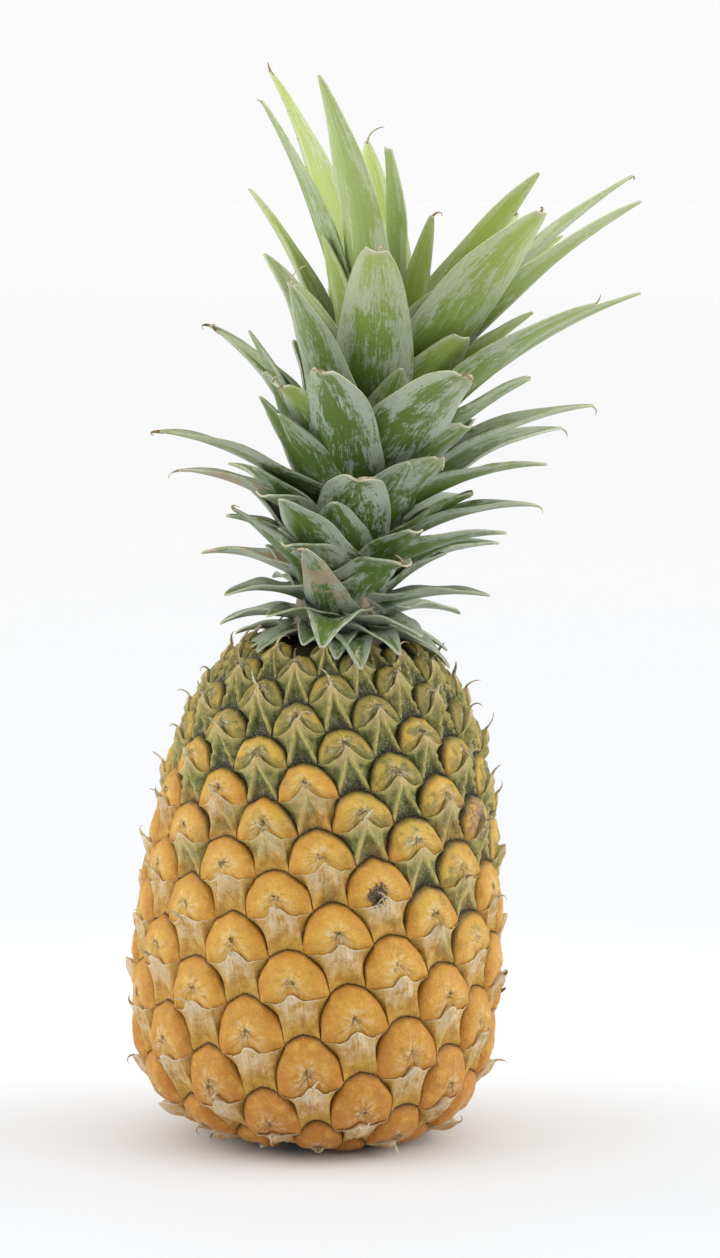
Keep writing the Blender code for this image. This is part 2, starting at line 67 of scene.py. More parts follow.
def fruit_profile(steps=600):
    """Radius, height and arc length along the fruit's side, from bottom to top."""
    quarter = np.linspace(0.0, pi / 2.0, steps)
    power = 2.0 / BOTTOM_FULLNESS
    low_radius = BOTTOM_FLAT + (FRUIT_RADIUS - BOTTOM_FLAT) * np.sin(quarter) ** power
    low_height = WIDEST_HEIGHT * (1.0 - np.abs(np.cos(quarter)) ** power)
    power = 2.0 / TOP_FULLNESS
    climb = np.sin(quarter) ** power
    top_radius = FRUIT_RADIUS * np.abs(np.cos(quarter)) ** power * (1.0 - TOP_TAPER * climb)
    top_height = WIDEST_HEIGHT + (FRUIT_HEIGHT - WIDEST_HEIGHT) * climb
    radius = np.concatenate([low_radius, top_radius[1:]])
    height = np.concatenate([low_height, top_height[1:]])
    arc = np.concatenate([[0.0], np.cumsum(np.hypot(np.diff(radius), np.diff(height)))])
    return radius, height, arc


PROFILE_RADIUS, PROFILE_HEIGHT, PROFILE_ARC = fruit_profile()


def skin_radius(arc):
    return np.interp(arc, PROFILE_ARC, PROFILE_RADIUS)


def skin_height(arc):
    return np.interp(arc, PROFILE_ARC, PROFILE_HEIGHT)


def stand(points):
    """From the upright fruit to the leaning one, whose lowest eyes press flat."""
    x, y, z = np.moveaxis(np.asarray(points, dtype=float), -1, 0)
    leaning_z = z * cos(FRUIT_LEAN) - x * sin(FRUIT_LEAN) + FRUIT_LIFT
    leaning_x = x * cos(FRUIT_LEAN) + z * sin(FRUIT_LEAN)
    return np.stack([leaning_x, y, np.maximum(leaning_z, 0.0)], axis=-1)


def skin_points(angle, arc, rise):
    """Points of the standing fruit, each `rise` off its skin."""
    step = 0.0005
    low = np.maximum(arc - step, 0.0)
    high = np.minimum(arc + step, PROFILE_ARC[-1])
    along_radius = skin_radius(high) - skin_radius(low)
    along_height = skin_height(high) - skin_height(low)
    length = np.hypot(along_radius, along_height)
    radius = skin_radius(arc) + rise * along_height / length
    height = skin_height(arc) - rise * along_radius / length
    points = stand(np.stack([radius * np.sin(angle), -radius * np.cos(angle), height], axis=-1))
    points[..., 2] = np.maximum(points[..., 2], FLOOR_GAP)
    return points


print("skin from bottom to top:", round(float(PROFILE_ARC[-1]), 4), "m")

# %% Spiral of the organs
TURN = radians(-137.464)
FIRST_ANGLE = radians(6.0)
FIRST_ARC = 0.1152
LOWEST_EYE = -66
HIGHEST_EYE = 104
LOWEST_LEAF = 92
EYE_AREA = 480e-6
EYE_AREA_STEP = 3.0e-6
FULL_SIZE_RADIUS_LOW = 0.042
FULL_SIZE_RADIUS_HIGH = 0.030
LOWEST_SKIN_RADIUS = 0.009
HIGHEST_SKIN_RADIUS = 0.019
WIDEST = int(np.argmax(PROFILE_RADIUS))


def narrowness(arc):
    """Size of an organ where the skin narrows, against one of the wide parts."""
    full = np.where(arc < PROFILE_ARC[WIDEST], FULL_SIZE_RADIUS_LOW, FULL_SIZE_RADIUS_HIGH)
    return np.minimum(skin_radius(arc) / full, 1.0)


def organ_arcs(lowest, highest):
    """Arc length of each organ: an organ takes a share of the skin equal to its area."""
    parts = 20
    arcs = {0: FIRST_ARC}
    for direction, last in ((1, highest), (-1, lowest)):
        arc = FIRST_ARC
        for number in range(0, last, direction):
            for part in range(parts):
                area = EYE_AREA - EYE_AREA_STEP * (number + direction * part / parts)
                area *= float(narrowness(arc)) ** 3
                arc += direction * area / (2.0 * pi * float(skin_radius(arc))) / parts
            arcs[number + direction] = arc
    return arcs


ORGAN_ARC = organ_arcs(LOWEST_EYE - 42, HIGHEST_EYE + 21)
ORGAN_NUMBERS = sorted(ORGAN_ARC)
ARC_OF_NUMBERS = [ORGAN_ARC[number] for number in ORGAN_NUMBERS]
LOWEST_ARC = float(np.interp(
    LOWEST_SKIN_RADIUS, PROFILE_RADIUS[:WIDEST], PROFILE_ARC[:WIDEST]))
HIGHEST_ARC = float(np.interp(
    -HIGHEST_SKIN_RADIUS, -PROFILE_RADIUS[WIDEST:], PROFILE_ARC[WIDEST:]))


def organ_angle(number):
    return FIRST_ANGLE + TURN * number


def near(angle, reference):
    """The same direction, written as the angle that lies nearest to the reference."""
    return reference + remainder(angle - reference, 2.0 * pi)


def eye_scale(arc):
    """Size of the eyes at this place against organ 0."""
    number = np.interp(arc, ARC_OF_NUMBERS, ORGAN_NUMBERS)
    area_scale = ((EYE_AREA - EYE_AREA_STEP * number) / EYE_AREA) ** 0.5
    return area_scale * narrowness(arc)


def smooth_step(low, high, value):
    share = np.clip((value - low) / (high - low), 0.0, 1.0)
    return share * share * (3.0 - 2.0 * share)


print("eyes:", HIGHEST_EYE - LOWEST_EYE + 1, "up to arc", round(HIGHEST_ARC, 4))

# %% [markdown]
# ## Borders between the eyes
# Each eye touches six others, the 8th, 13th and 21st organs above and below it, so its
# outline is a hexagon. Its three upper borders bow up round its dome. Each border is drawn
# once and used by the eyes on both its sides, so that the skin closes without gaps.

# %% Borders
CREASE_DEPTH = 0.0034
CORNER_DEPTH = 0.0019
SIDE_BULGE = 0.12
TOP_BULGE = 0.19
CREASE_DIP = 0.7
SIDE_STEPS = 6
TOP_STEPS = 8
chance = np.random.default_rng(21)
BORDER_CHANCE = chance.uniform(-1.0, 1.0, (HIGHEST_EYE - LOWEST_EYE + 80, 3, 2))


def corner(number, side):
    """Angle and arc of an eye's top left (-1) or top right (1) corner."""
    around = (number, number + (8 if side < 0 else 13), number + 21)
    home = organ_angle(number)
    angle = sum(near(organ_angle(organ), home) for organ in around) / 3.0
    arc = sum(ORGAN_ARC[organ] for organ in around) / 3.0
    return angle, min(max(arc, LOWEST_ARC), HIGHEST_ARC)


def border(number, part):
    """Angles, arcs and rises of one of the three borders over the top of an eye."""
    ends, steps = {
        "left": (((number - 13, 1), (number, -1)), SIDE_STEPS),
        "top": (((number, -1), (number, 1)), TOP_STEPS),
        "right": (((number, 1), (number - 8, -1)), SIDE_STEPS),
    }[part]
    home = organ_angle(number)
    (start_angle, start_arc), (end_angle, end_arc) = (corner(*end) for end in ends)
    start_angle, end_angle = near(start_angle, home), near(end_angle, home)
    radius = skin_radius((start_arc + end_arc) / 2.0)
    share = np.linspace(0.0, 1.0, steps + 1)
    if part == "top":
        bow = TOP_BULGE * (1.0 - np.abs(2.0 * share - 1.0) ** 1.3)
    else:
        bow = SIDE_BULGE * 4.0 * share * (1.0 - share)
    odd = BORDER_CHANCE[number - LOWEST_EYE + 60, ("left", "top", "right").index(part)]
    bow = bow + 0.040 * odd[0] * np.sin(pi * share) + 0.022 * odd[1] * np.sin(3.0 * pi * share)
    angle = start_angle + (end_angle - start_angle) * share
    angle -= bow * (end_arc - start_arc) / radius
    arc = start_arc + (end_arc - start_arc) * share + bow * (end_angle - start_angle) * radius
    arc = np.clip(arc, LOWEST_ARC, HIGHEST_ARC)
    dip = (4.0 * share * (1.0 - share)) ** CREASE_DIP
    depth = CORNER_DEPTH + (CREASE_DEPTH - CORNER_DEPTH) * dip
    return angle, arc, -depth * eye_scale(arc)


def line(number, borders):
    """Borders end to end, from an eye's left corner to its right one."""
    home = organ_angle(number)
    parts = []
    for owner, part in borders:
        angle, arc, rise = border(owner, part)
        angle = angle + near(angle[0], home) - angle[0]
        start = 1 if parts else 0
        parts.append(np.stack([angle, arc, rise])[:, start:])
    return np.concatenate(parts, axis=1)


def upper_line(number):
    return line(number, ((number, "left"), (number, "top"), (number, "right")))


def lower_line(number):
    return line(number, ((number - 13, "right"), (number - 21, "top"), (number - 8, "left")))


ACROSS = np.concatenate([
    np.linspace(-1.0, -1.0 / 3.0, SIDE_STEPS + 1),
    np.linspace(-1.0 / 3.0, 1.0 / 3.0, TOP_STEPS + 1)[1:],
    np.linspace(1.0 / 3.0, 1.0, SIDE_STEPS + 1)[1:],
])
print("points across an eye:", len(ACROSS))

# %% [markdown]
# ## One eye
# An eye has two parts. The bract is a dried leaf at its foot: it is drawn out to the two
# side corners and down between the two domes below, it ends upwards in a papery free edge,
# and its pointed tip lies over the dome. Behind it rises the dome, with the scar of the
# flower in a small pit. Near the crown the bracts are young, with sharp folds and long
# tips; lower down the tips have worn off.
#
# A grid is the natural blank for such a surface: its columns run across the eye and its
# rows run up over it. It is made once, each eye gets a copy with its own mesh, and the
# copy's points are moved by the rules of relief.

# %% Sizes of an eye
DOME_RISE = 0.0010
BRACT_RISE = 0.0003
BRACT_LEDGE = 0.0010
CORNER_FALL = 0.0010
TIP_RISE_LOW = 0.0025
TIP_RISE_HIGH = 0.0042
TIP_SKEW = 0.07
SCAR_HOLLOW = 0.00055
SCAR_RIM = 0.00030
SCAR_PIT = 0.0008
DOME_LUMPS = 0.00028
BRACT_ROWS = 11
DOME_ROWS = 11
EYE_ROWS = BRACT_ROWS + DOME_ROWS + 2
EYE_COLUMNS = len(ACROSS) - 1
EYE_CHANCE = chance.uniform(-1.0, 1.0, (HIGHEST_EYE - LOWEST_EYE + 1, 8))
SIDE = np.abs(ACROSS)[None, :]


def youth(number):
    """0 on the lower two thirds of the fruit, rising to 1 under the crown."""
    return float(smooth_step(5.0, 80.0, number))


def bell(away, width):
    """1 where `away` is 0, fading to nothing over the width."""
    return np.exp(-(away / width) ** 2)


print("rows and columns of an eye:", EYE_ROWS, EYE_COLUMNS)


# %% Bract
def tongue(odd, young):
    """The middle of a bract, drawn up to its tip: 0 beside it and 1 at the tip."""
    half = 0.21 + 0.04 * odd[2] + 0.55 * young
    return np.maximum(1.0 - np.abs(ACROSS[None, :] - TIP_SKEW * odd[0]) / half, 0.0)


def free_edge(odd, young, straight):
    """Share of the eye's height at which its bract ends."""
    across = ACROSS[None, :]
    reach = 0.13 + 0.04 * odd[3] + 0.16 * young
    worn = 0.62 + 0.38 * young + 0.12 * odd[6]
    tongue_up = np.minimum(tongue(odd, young) ** (1.15 + 2.2 * young), worn)
    ragged = 0.012 * np.sin(across * 23.0 + 9.0 * odd[4]) * np.sin(across * 41.0 + odd[5])
    edge = 0.43 + 0.045 * bell(SIDE - 0.36, 0.16) - 0.10 * smooth_step(0.5, 1.0, SIDE)
    edge = edge + (straight - edge) * young * (1.0 - SIDE ** 8)
    return edge + reach * tongue_up + ragged * (1.0 - SIDE)


def free_edge_rise(odd, young):
    """Rise of the bract's free edge, highest at the tip."""
    tip = TIP_RISE_LOW + (TIP_RISE_HIGH - TIP_RISE_LOW) * young
    tip *= 1.0 + 0.25 * odd[1]
    return BRACT_RISE - CORNER_FALL * SIDE ** 3 + tip * tongue(odd, young) ** (1.6 + 1.1 * young)


def bract_relief(odd, young, edge_rise, low_rise):
    """Rise of a bract: folds run from its tip to both lower corners, a keel between them."""
    along = np.linspace(0.0, 1.0, BRACT_ROWS + 1)[:, None]
    fold = bell(SIDE - (1.0 - along) ** 0.9 / 3.0, 0.085)
    keel = bell(ACROSS[None, :] - TIP_SKEW * odd[0] * along, 0.10)
    steep = 0.75 + (0.55 + 0.75 * young) * (1.0 - fold) * (1.0 - 0.5 * keel)
    rise = low_rise + (edge_rise - low_rise) * along ** steep
    swell = np.sin(pi * along) ** 0.8
    rise += (0.0006 + 0.0014 * young) * fold * swell
    rise += 0.0004 * keel * swell * (1.0 - 0.6 * young)
    rise -= (0.0005 + 0.0014 * young) * (1.0 - fold) * (1.0 - keel) * swell * (1.0 - SIDE ** 4)
    return rise, along


print("highest tip of a bract:", TIP_RISE_HIGH, "m, lowest:", TIP_RISE_LOW, "m")


# %% Dome
def dome_relief(odd, young, foot, high_rise):
    """Rise of a dome, from its foot behind the bract over the scar to the crease above."""
    across = ACROSS[None, :]
    climb = np.linspace(0.0, 1.0, DOME_ROWS + 1)[:, None] ** 0.85
    full = DOME_RISE * (1.0 + 0.3 * odd[6]) * (1.0 - 0.9 * SIDE ** 2) - 0.0011 * SIDE ** 3
    round_off = (1.0 - climb ** 3.4) ** 0.6 * (1.0 - SIDE ** 9) ** 0.5
    dome = high_rise + (full - high_rise) * round_off
    dome = foot + (dome - foot) * smooth_step(-0.05, 0.34, climb)
    away = np.hypot((across - TIP_SKEW * odd[0]) * 11.5, (climb - 0.26) * 15.0)
    dome -= SCAR_HOLLOW * bell(away, 4.5) * (1.0 - young)
    dome += SCAR_RIM * bell(away - 2.2, 1.0)
    dome -= SCAR_PIT * bell(away, 1.0)
    rim_fold = bell(climb - 0.33 + 0.14 * SIDE, 0.07) * smooth_step(0.06, 0.25, SIDE)
    dome += (0.00015 + 0.00040 * young) * rim_fold * (1.0 - SIDE ** 4)
    dome += 0.0007 * young * bell(across, 0.16) * 4.0 * climb * (1.0 - climb)
    lump = np.sin(across * 5.0 + 4.0 * odd[5]) * np.sin(climb * 6.0 + 5.0 * odd[7])
    lump += 0.5 * np.sin(across * 11.0 + 9.0 * odd[0]) * np.sin(climb * 9.0 + 7.0 * odd[1])
    dome += DOME_LUMPS * lump * round_off
    return dome, climb


print("rise of a dome:", DOME_RISE, "m, pit of its scar:", SCAR_PIT, "m")


# %% Whole eye
def eye_relief(number, low_rise, high_rise, straight):
    """Place between the lower and upper line, and rise, of each point of an eye."""
    odd = EYE_CHANCE[number - LOWEST_EYE]
    young = youth(number)
    edge = free_edge(odd, young, straight)
    edge_rise = free_edge_rise(odd, young)
    bract, along = bract_relief(odd, young, edge_rise, low_rise)
    foot = BRACT_RISE - CORNER_FALL * SIDE ** 3 - BRACT_LEDGE * (1.0 - SIDE ** 6)
    dome, climb = dome_relief(odd, young, np.minimum(foot, edge_rise), high_rise)
    foot_share = edge - 0.022
    share = np.concatenate([
        edge * along, edge - 0.004, foot_share + (1.0 - foot_share) * climb])
    return share, np.concatenate([bract, edge_rise - 0.0004, dome])


def eye_points(number):
    """Points of an eye row by row, and their distances from a crease."""
    low, high = lower_line(number), upper_line(number)
    scale = eye_scale(ORGAN_ARC[number])
    corner_line = low[1, 0] + (low[1, -1] - low[1, 0]) * (ACROSS + 1.0) / 2.0
    straight = (corner_line - low[1]) / np.maximum(high[1] - low[1], 0.0005)
    share, level = eye_relief(
        number, low[2] / scale, high[2] / scale, np.clip(straight, 0.30, 0.60))
    angle = low[0] + (high[0] - low[0]) * share
    arc = low[1] + (high[1] - low[1]) * share
    rise = level * scale
    rise[0], rise[-1] = low[2], high[2]
    angle[-1], arc[-1] = high[0], high[1]
    for end in (0, -1):
        angle[:, end], arc[:, end], rise[:, end] = low[0, end], low[1, end], low[2, end]
    points = skin_points(angle, arc, rise)
    tall = np.linalg.norm(points[-1] - points[0], axis=-1)
    return points, np.minimum(share, 1.0 - share) * tall


print("points of an eye:", eye_points(0)[0].shape[:2])


# %% Blank and helpers
def select_only(*objects):
    bpy.ops.object.select_all(action="DESELECT")
    for item in objects:
        item.select_set(True)
    bpy.context.view_layer.objects.active = objects[0]


def places_of(mesh):
    places = np.empty(len(mesh.vertices) * 3)
    mesh.vertices.foreach_get("co", places)
    return places.reshape(-1, 3)


def grid_blank(name, columns, rows):
    """A flat grid, and the row and column of each of its points."""
    bpy.ops.object.select_all(action="DESELECT")
    bpy.ops.mesh.primitive_grid_add(x_subdivisions=columns, y_subdivisions=rows, size=2.0)
    blank = bpy.context.active_object
    blank.name = name
    places = places_of(blank.data)
    column = np.rint((places[:, 0] + 1.0) / 2.0 * columns).astype(int)
    row = np.rint((places[:, 1] + 1.0) / 2.0 * rows).astype(int)
    return blank, row, column


def copy_of(blank, name, points, marks, uv):
    """A copy of the blank with its own mesh, its points moved and its marks painted."""
    mesh = blank.data.copy()
    piece = bpy.data.objects.new(name, mesh)
    bpy.context.collection.objects.link(piece)
    mesh.vertices.foreach_set("co", points.ravel())
    loops = np.empty(len(mesh.loops), dtype=int)
    mesh.loops.foreach_get("vertex_index", loops)
    paint = mesh.color_attributes.new("marks", "FLOAT_COLOR", "CORNER")
    paint.data.foreach_set("color", marks[loops].ravel())
    mesh.uv_layers[0].data.foreach_set("uv", uv[loops].ravel())
    mesh.update()
    return piece


def join(pieces, name):
    select_only(*pieces)
    bpy.ops.object.join()
    joined = bpy.context.view_layer.objects.active
    joined.name = name
    joined.data.name = name
    return joined


def triangles(piece):
    return sum(len(face.vertices) - 2 for face in piece.data.polygons)


print("helpers ready for blanks of", EYE_COLUMNS, "by", EYE_ROWS, "faces")


# %% Make the eyes
CREASE_REACH = 0.004
eye_blank, eye_row, eye_column = grid_blank("eye blank", EYE_COLUMNS, EYE_ROWS)
rows = np.arange(EYE_ROWS + 1)[:, None]
on_bract = rows <= BRACT_ROWS + 1
up_bract = 0.5 * rows / (BRACT_ROWS + 1)
up_dome = 0.5 + 0.5 * (rows - BRACT_ROWS - 2) / DOME_ROWS
up = np.where(on_bract, up_bract, up_dome)
eyes = []
for number in range(LOWEST_EYE, HIGHEST_EYE + 1):
    points, from_crease = eye_points(number)
    luck = EYE_CHANCE[number - LOWEST_EYE, 7] * 0.5 + 0.5
    # clear runs from 0 in a crease to 1 at CREASE_REACH from it; the skin finish paints the crease
    # shade from it.
    clear = np.clip(from_crease / CREASE_REACH, 0.0, 1.0)
    marks = np.stack(np.broadcast_arrays(on_bract.astype(float), clear, luck, 1.0), axis=-1)
    uv = np.stack(np.broadcast_arrays(ACROSS * 0.5 + 0.5, up), axis=-1)
    pick = (eye_row, eye_column)
    eyes.append(copy_of(eye_blank, "eye", points[pick], marks[pick], uv[pick]))
bpy.data.objects.remove(eye_blank, do_unlink=True)
print("eyes made:", len(eyes))


# %% Close the skin
def close_holes():
    """In edit mode, fills every open border and turns the faces outwards."""
    bpy.ops.mesh.select_all(action="DESELECT")
    bpy.ops.mesh.select_non_manifold(extend=False, use_wire=False, use_multi_face=False,
                                     use_non_contiguous=False, use_verts=False)
    bpy.ops.mesh.fill_holes(sides=0)
    bpy.ops.mesh.select_all(action="SELECT")
    bpy.ops.mesh.normals_make_consistent(inside=False)


skin = join(eyes, "fruit_skin")
bpy.ops.object.mode_set(mode="EDIT")
bpy.ops.mesh.select_mode(type="VERT")
bpy.ops.mesh.select_all(action="SELECT")
bpy.ops.mesh.remove_doubles(threshold=0.00002)
bpy.ops.mesh.dissolve_degenerate(threshold=0.000001)
close_holes()
bpy.ops.object.mode_set(mode="OBJECT")
bpy.ops.object.shade_smooth_by_angle(angle=radians(50.0))
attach(skin, "root")
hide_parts("fruit")
print("skin:", triangles(skin), "triangles")

# %% [markdown]
# ## Crown
# The crown is a short stem with a spiral of leaves. Each leaf is a shallow channel that
# starts broad round the stem, bends outwards and tapers to a dry point. A leaf could be cut
# from a plane, but a grid with one column for each step across keeps the channel, the
# margins and the tip under control, and a Solidify modifier then gives it its thickness.

# %% Stem of the crown
GAP = 0.0003
STEM_HEIGHT = 0.088
STEM_BASE_RADIUS = 0.0160
STEM_TOP_RADIUS = 0.0070
STEM_BEND = radians(15.0)
SEAT_DEPTH = 0.0034
CROWN_SEAT = float(skin_height(HIGHEST_ARC)) - SEAT_DEPTH


def stem_frame(height):
    """Middle of the stem at this height, and its directions: along, right and front."""
    share = height / STEM_HEIGHT
    lean = FRUIT_LEAN + STEM_BEND * share
    middle_lean = FRUIT_LEAN + STEM_BEND * share / 2.0
    base = Vector(stand((0.0, 0.0, CROWN_SEAT + GAP)))
    middle = base + height * Vector((sin(middle_lean), 0.0, cos(middle_lean)))
    along = Vector((sin(lean), 0.0, cos(lean)))
    right = Vector((cos(lean), 0.0, -sin(lean)))
    return middle, along, right, Vector((0.0, -1.0, 0.0))


def stem_radius(height):
    share = height / STEM_HEIGHT
    return STEM_BASE_RADIUS + (STEM_TOP_RADIUS - STEM_BASE_RADIUS) * share ** 1.2


print("crown stem stands at", round(CROWN_SEAT, 4), "m")

# %% [markdown]
# ## Leaves
# The 64 main leaves follow the spiral, but leaves of one plant differ, so most of them have
# changes of their own below: factors for length and width, and degrees to add to how far a
# leaf lifts from the stem, curls outwards or turns round it. An `end` is the width in
# metres of a torn, blunt tip. A random change for each leaf would be shorter to write, but
# listed one by one they can be judged leaf by leaf from the front.
#
# Small drooping leaves form a collar over the fruit's shoulder, broad ones fill the heart
# of the crown, where no stem is ever seen, and a few at the front have places of their own.

# %% Main leaves
LEAF_COUNT = 64
SMALL_LEAF_LENGTH = 0.030
LARGE_LEAF_LENGTH = 0.128
INNER_LEAF_LENGTH = 0.060
SHARP_END = 0.0012
LEAF_CHANGES = {
    0: {"length": 1.10, "lift": -10, "curl": 6},
    2: {"length": 1.05, "lift": 2, "curl": 4},
    3: {"length": 1.05, "lift": 14},
    4: {"length": 1.40, "lift": 14, "curl": -14},
    5: {"length": 1.05, "lift": 14, "curl": 14},
    7: {"length": 1.20, "lift": 6, "curl": -14},
    8: {"lift": 10},
    10: {"length": 1.02, "lift": -8, "end": 0.004},
    11: {"length": 1.08, "lift": 8},
    12: {"length": 1.15, "curl": -10},
    13: {"length": 0.90, "lift": -3, "end": 0.003},
    15: {"length": 1.15, "lift": 2, "curl": -12},
    16: {"length": 0.76, "lift": -2},
    17: {"length": 1.20},
    18: {"length": 1.06, "lift": -10, "turn": -6, "end": 0.006},
    21: {"length": 0.66, "end": 0.006},
    23: {"length": 0.78, "lift": -8, "turn": -4, "curl": -15, "end": 0.004},
    24: {"length": 0.80, "lift": 14},
    25: {"length": 1.20},
    26: {"length": 1.20, "lift": -6, "end": 0.006},
    28: {"length": 0.84, "lift": 4},
    29: {"length": 0.88, "lift": 18},
    31: {"length": 1.06, "width": 1.1, "end": 0.006},
    32: {"length": 0.92},
    33: {"length": 0.93, "lift": 5},
    34: {"length": 0.70, "lift": 6, "end": 0.006},
    36: {"length": 1.12, "lift": -4},
    37: {"length": 0.70, "curl": 10},
    38: {"length": 0.72},
    39: {"turn": -9, "curl": -6, "end": 0.007},
    40: {"length": 0.90, "lift": 4},
    42: {"length": 0.65, "lift": -4, "end": 0.006},
    43: {"length": 0.70},
    44: {"width": 1.12, "lift": -3, "curl": -6, "end": 0.004},
    45: {"length": 0.85, "lift": -1},
    46: {"length": 0.85, "lift": -8},
    47: {"length": 0.55},
    50: {"length": 0.96},
    51: {"length": 0.80},
    52: {"length": 0.50},
    53: {"length": 1.04, "lift": 6, "curl": 3},
    54: {"length": 0.93},
    55: {"length": 1.04, "lift": 7, "curl": 2},
    56: {"length": 0.55},
    57: {"length": 0.92, "lift": -5},
    58: {"length": 0.70},
    59: {"length": 0.85},
    60: {"length": 0.92, "width": 0.6},
    63: {"length": 1.35, "width": 0.8, "end": 0.005},
}


def leaf_shape(leaf):
    """Sizes and angles of a leaf, by how far up the crown it grows."""
    share = leaf / (LEAF_COUNT - 1)
    grown = smooth_step(0.0, 0.85, share) * 0.55 + 0.45 * min(share / 0.85, 1.0)
    young = smooth_step(0.85, 1.0, share)
    length = SMALL_LEAF_LENGTH + (LARGE_LEAF_LENGTH - SMALL_LEAF_LENGTH) * grown
    length += (INNER_LEAF_LENGTH - LARGE_LEAF_LENGTH) * young
    shape = {
        "height": STEM_HEIGHT * (0.015 + 0.95 * share ** 1.1),
        "length": float(length),
        "width": float(0.024 + 0.003 * grown - 0.010 * young),
        "lift": 58.0 - 46.0 * share,
        "curl": 52.0 - 36.0 * share,
        "turn": 0.0,
        "end": SHARP_END,
    }
    for name, change in LEAF_CHANGES.get(leaf, {}).items():
        if name in ("length", "width"):
            shape[name] *= change
        elif name == "end":
            shape[name] = change
        else:
            shape[name] += change
    return shape


print("main leaves:", LEAF_COUNT, "of which changed:", len(LEAF_CHANGES))

# %% Other leaves
COLLAR_COUNT = 16
INNER_COUNT = 34
INNER_LOW = 0.03
INNER_SPAN = 0.72
FRONT_LEAVES = (
    {"angle": -32, "height": 0.047, "length": 0.094, "width": 0.027, "lift": 37, "curl": 14},
    {"angle": -52, "height": 0.030, "length": 0.064, "width": 0.024, "lift": 35, "curl": 12},
    {"angle": -24, "height": 0.015, "length": 0.064, "width": 0.029, "lift": 47, "curl": 22},
    {"angle": -58, "height": 0.013, "length": 0.050, "width": 0.022, "lift": 47, "curl": 14},
    {"angle": 28, "height": 0.008, "length": 0.036, "width": 0.024, "lift": 39, "curl": 24},
    {"angle": -75, "height": 0.034, "length": 0.076, "width": 0.024, "lift": 29, "curl": 8},
    {"angle": -62, "height": 0.022, "length": 0.070, "width": 0.024, "lift": 24, "curl": 6},
    {"angle": 5, "height": 0.022, "length": 0.040, "width": 0.022, "lift": 12, "curl": 12},
    {"angle": -14, "height": 0.004, "length": 0.060, "width": 0.019, "lift": 53, "curl": 12},
)
FIRST_FRONT = LEAF_COUNT + INNER_COUNT
ALL_LEAVES = FIRST_FRONT + len(FRONT_LEAVES)
DRY_LEAVES = (11, 24, ALL_LEAVES - 1)
LEAF_CHANCE = chance.uniform(-1.0, 1.0, (ALL_LEAVES + COLLAR_COUNT, 8))


def collar_shape(leaf):
    """The lowest small leaves, which fold down over the shoulder of the fruit."""
    odd = LEAF_CHANCE[leaf]
    return {
        "height": 0.0008 + 0.0005 * (leaf % 5),
        "length": 0.030 + 0.004 * odd[3],
        "width": 0.020 + 0.002 * odd[4],
        "lift": 72.0 + 8.0 * odd[5],
        "curl": 52.0 + 14.0 * odd[6],
        "turn": 0.0,
        "end": 0.0008,
    }


def inner_shape(leaf):
    """Broad leaves that stand close to the stem, in between the others."""
    odd = LEAF_CHANCE[leaf]
    share = leaf_age(leaf)
    return {
        "height": STEM_HEIGHT * (0.02 + 0.95 * share),
        "length": 0.034 + 0.070 * share + 0.004 * odd[3],
        "width": 0.027 + 0.002 * odd[4],
        "lift": 37.0 - 24.0 * share + 4.0 * odd[5],
        "curl": 24.0 - 10.0 * share + 8.0 * odd[6],
        "turn": 68.0 + 10.0 * odd[7],
        "end": SHARP_END if odd[2] > -0.3 else 0.006,
    }


def leaf_age(leaf):
    """0 for the lowest leaf, 1 for the youngest."""
    if leaf >= FIRST_FRONT:
        return FRONT_LEAVES[leaf - FIRST_FRONT]["height"] / STEM_HEIGHT
    if leaf >= LEAF_COUNT:
        return INNER_LOW + INNER_SPAN * (leaf - LEAF_COUNT) / INNER_COUNT
    return max(leaf, 0) / (LEAF_COUNT - 1)


def shape_and_angle(leaf):
    """Sizes of any leaf, and its direction round the stem."""
    spiral_angle = organ_angle(LOWEST_LEAF + leaf)
    if leaf < 0:
        return collar_shape(leaf), spiral_angle
    if leaf < LEAF_COUNT:
        return leaf_shape(leaf), spiral_angle
    if leaf < FIRST_FRONT:
        return inner_shape(leaf), spiral_angle
    shape = {"turn": 0.0, "end": SHARP_END, **FRONT_LEAVES[leaf - FIRST_FRONT]}
    return shape, radians(shape["angle"])


print("leaves in all:", ALL_LEAVES + COLLAR_COUNT)

# %% Blade of a leaf
LEAF_COLUMNS = 10
LEAF_ROWS = 34
BLUNT_END = 0.002
TROUGH_AT_FOOT = 0.34
TROUGH_LOSS = 0.14


def bluntness(leaf, end):
    """How late a blade tapers: old leaves stay pointed, grown and torn ones are fuller."""
    age = leaf_age(leaf)
    if end > BLUNT_END:
        return 1.25 + 1.2 * float(smooth_step(0.05, 0.35, age))
    return 1.25 + 0.65 * float(smooth_step(0.05, 0.30, age))


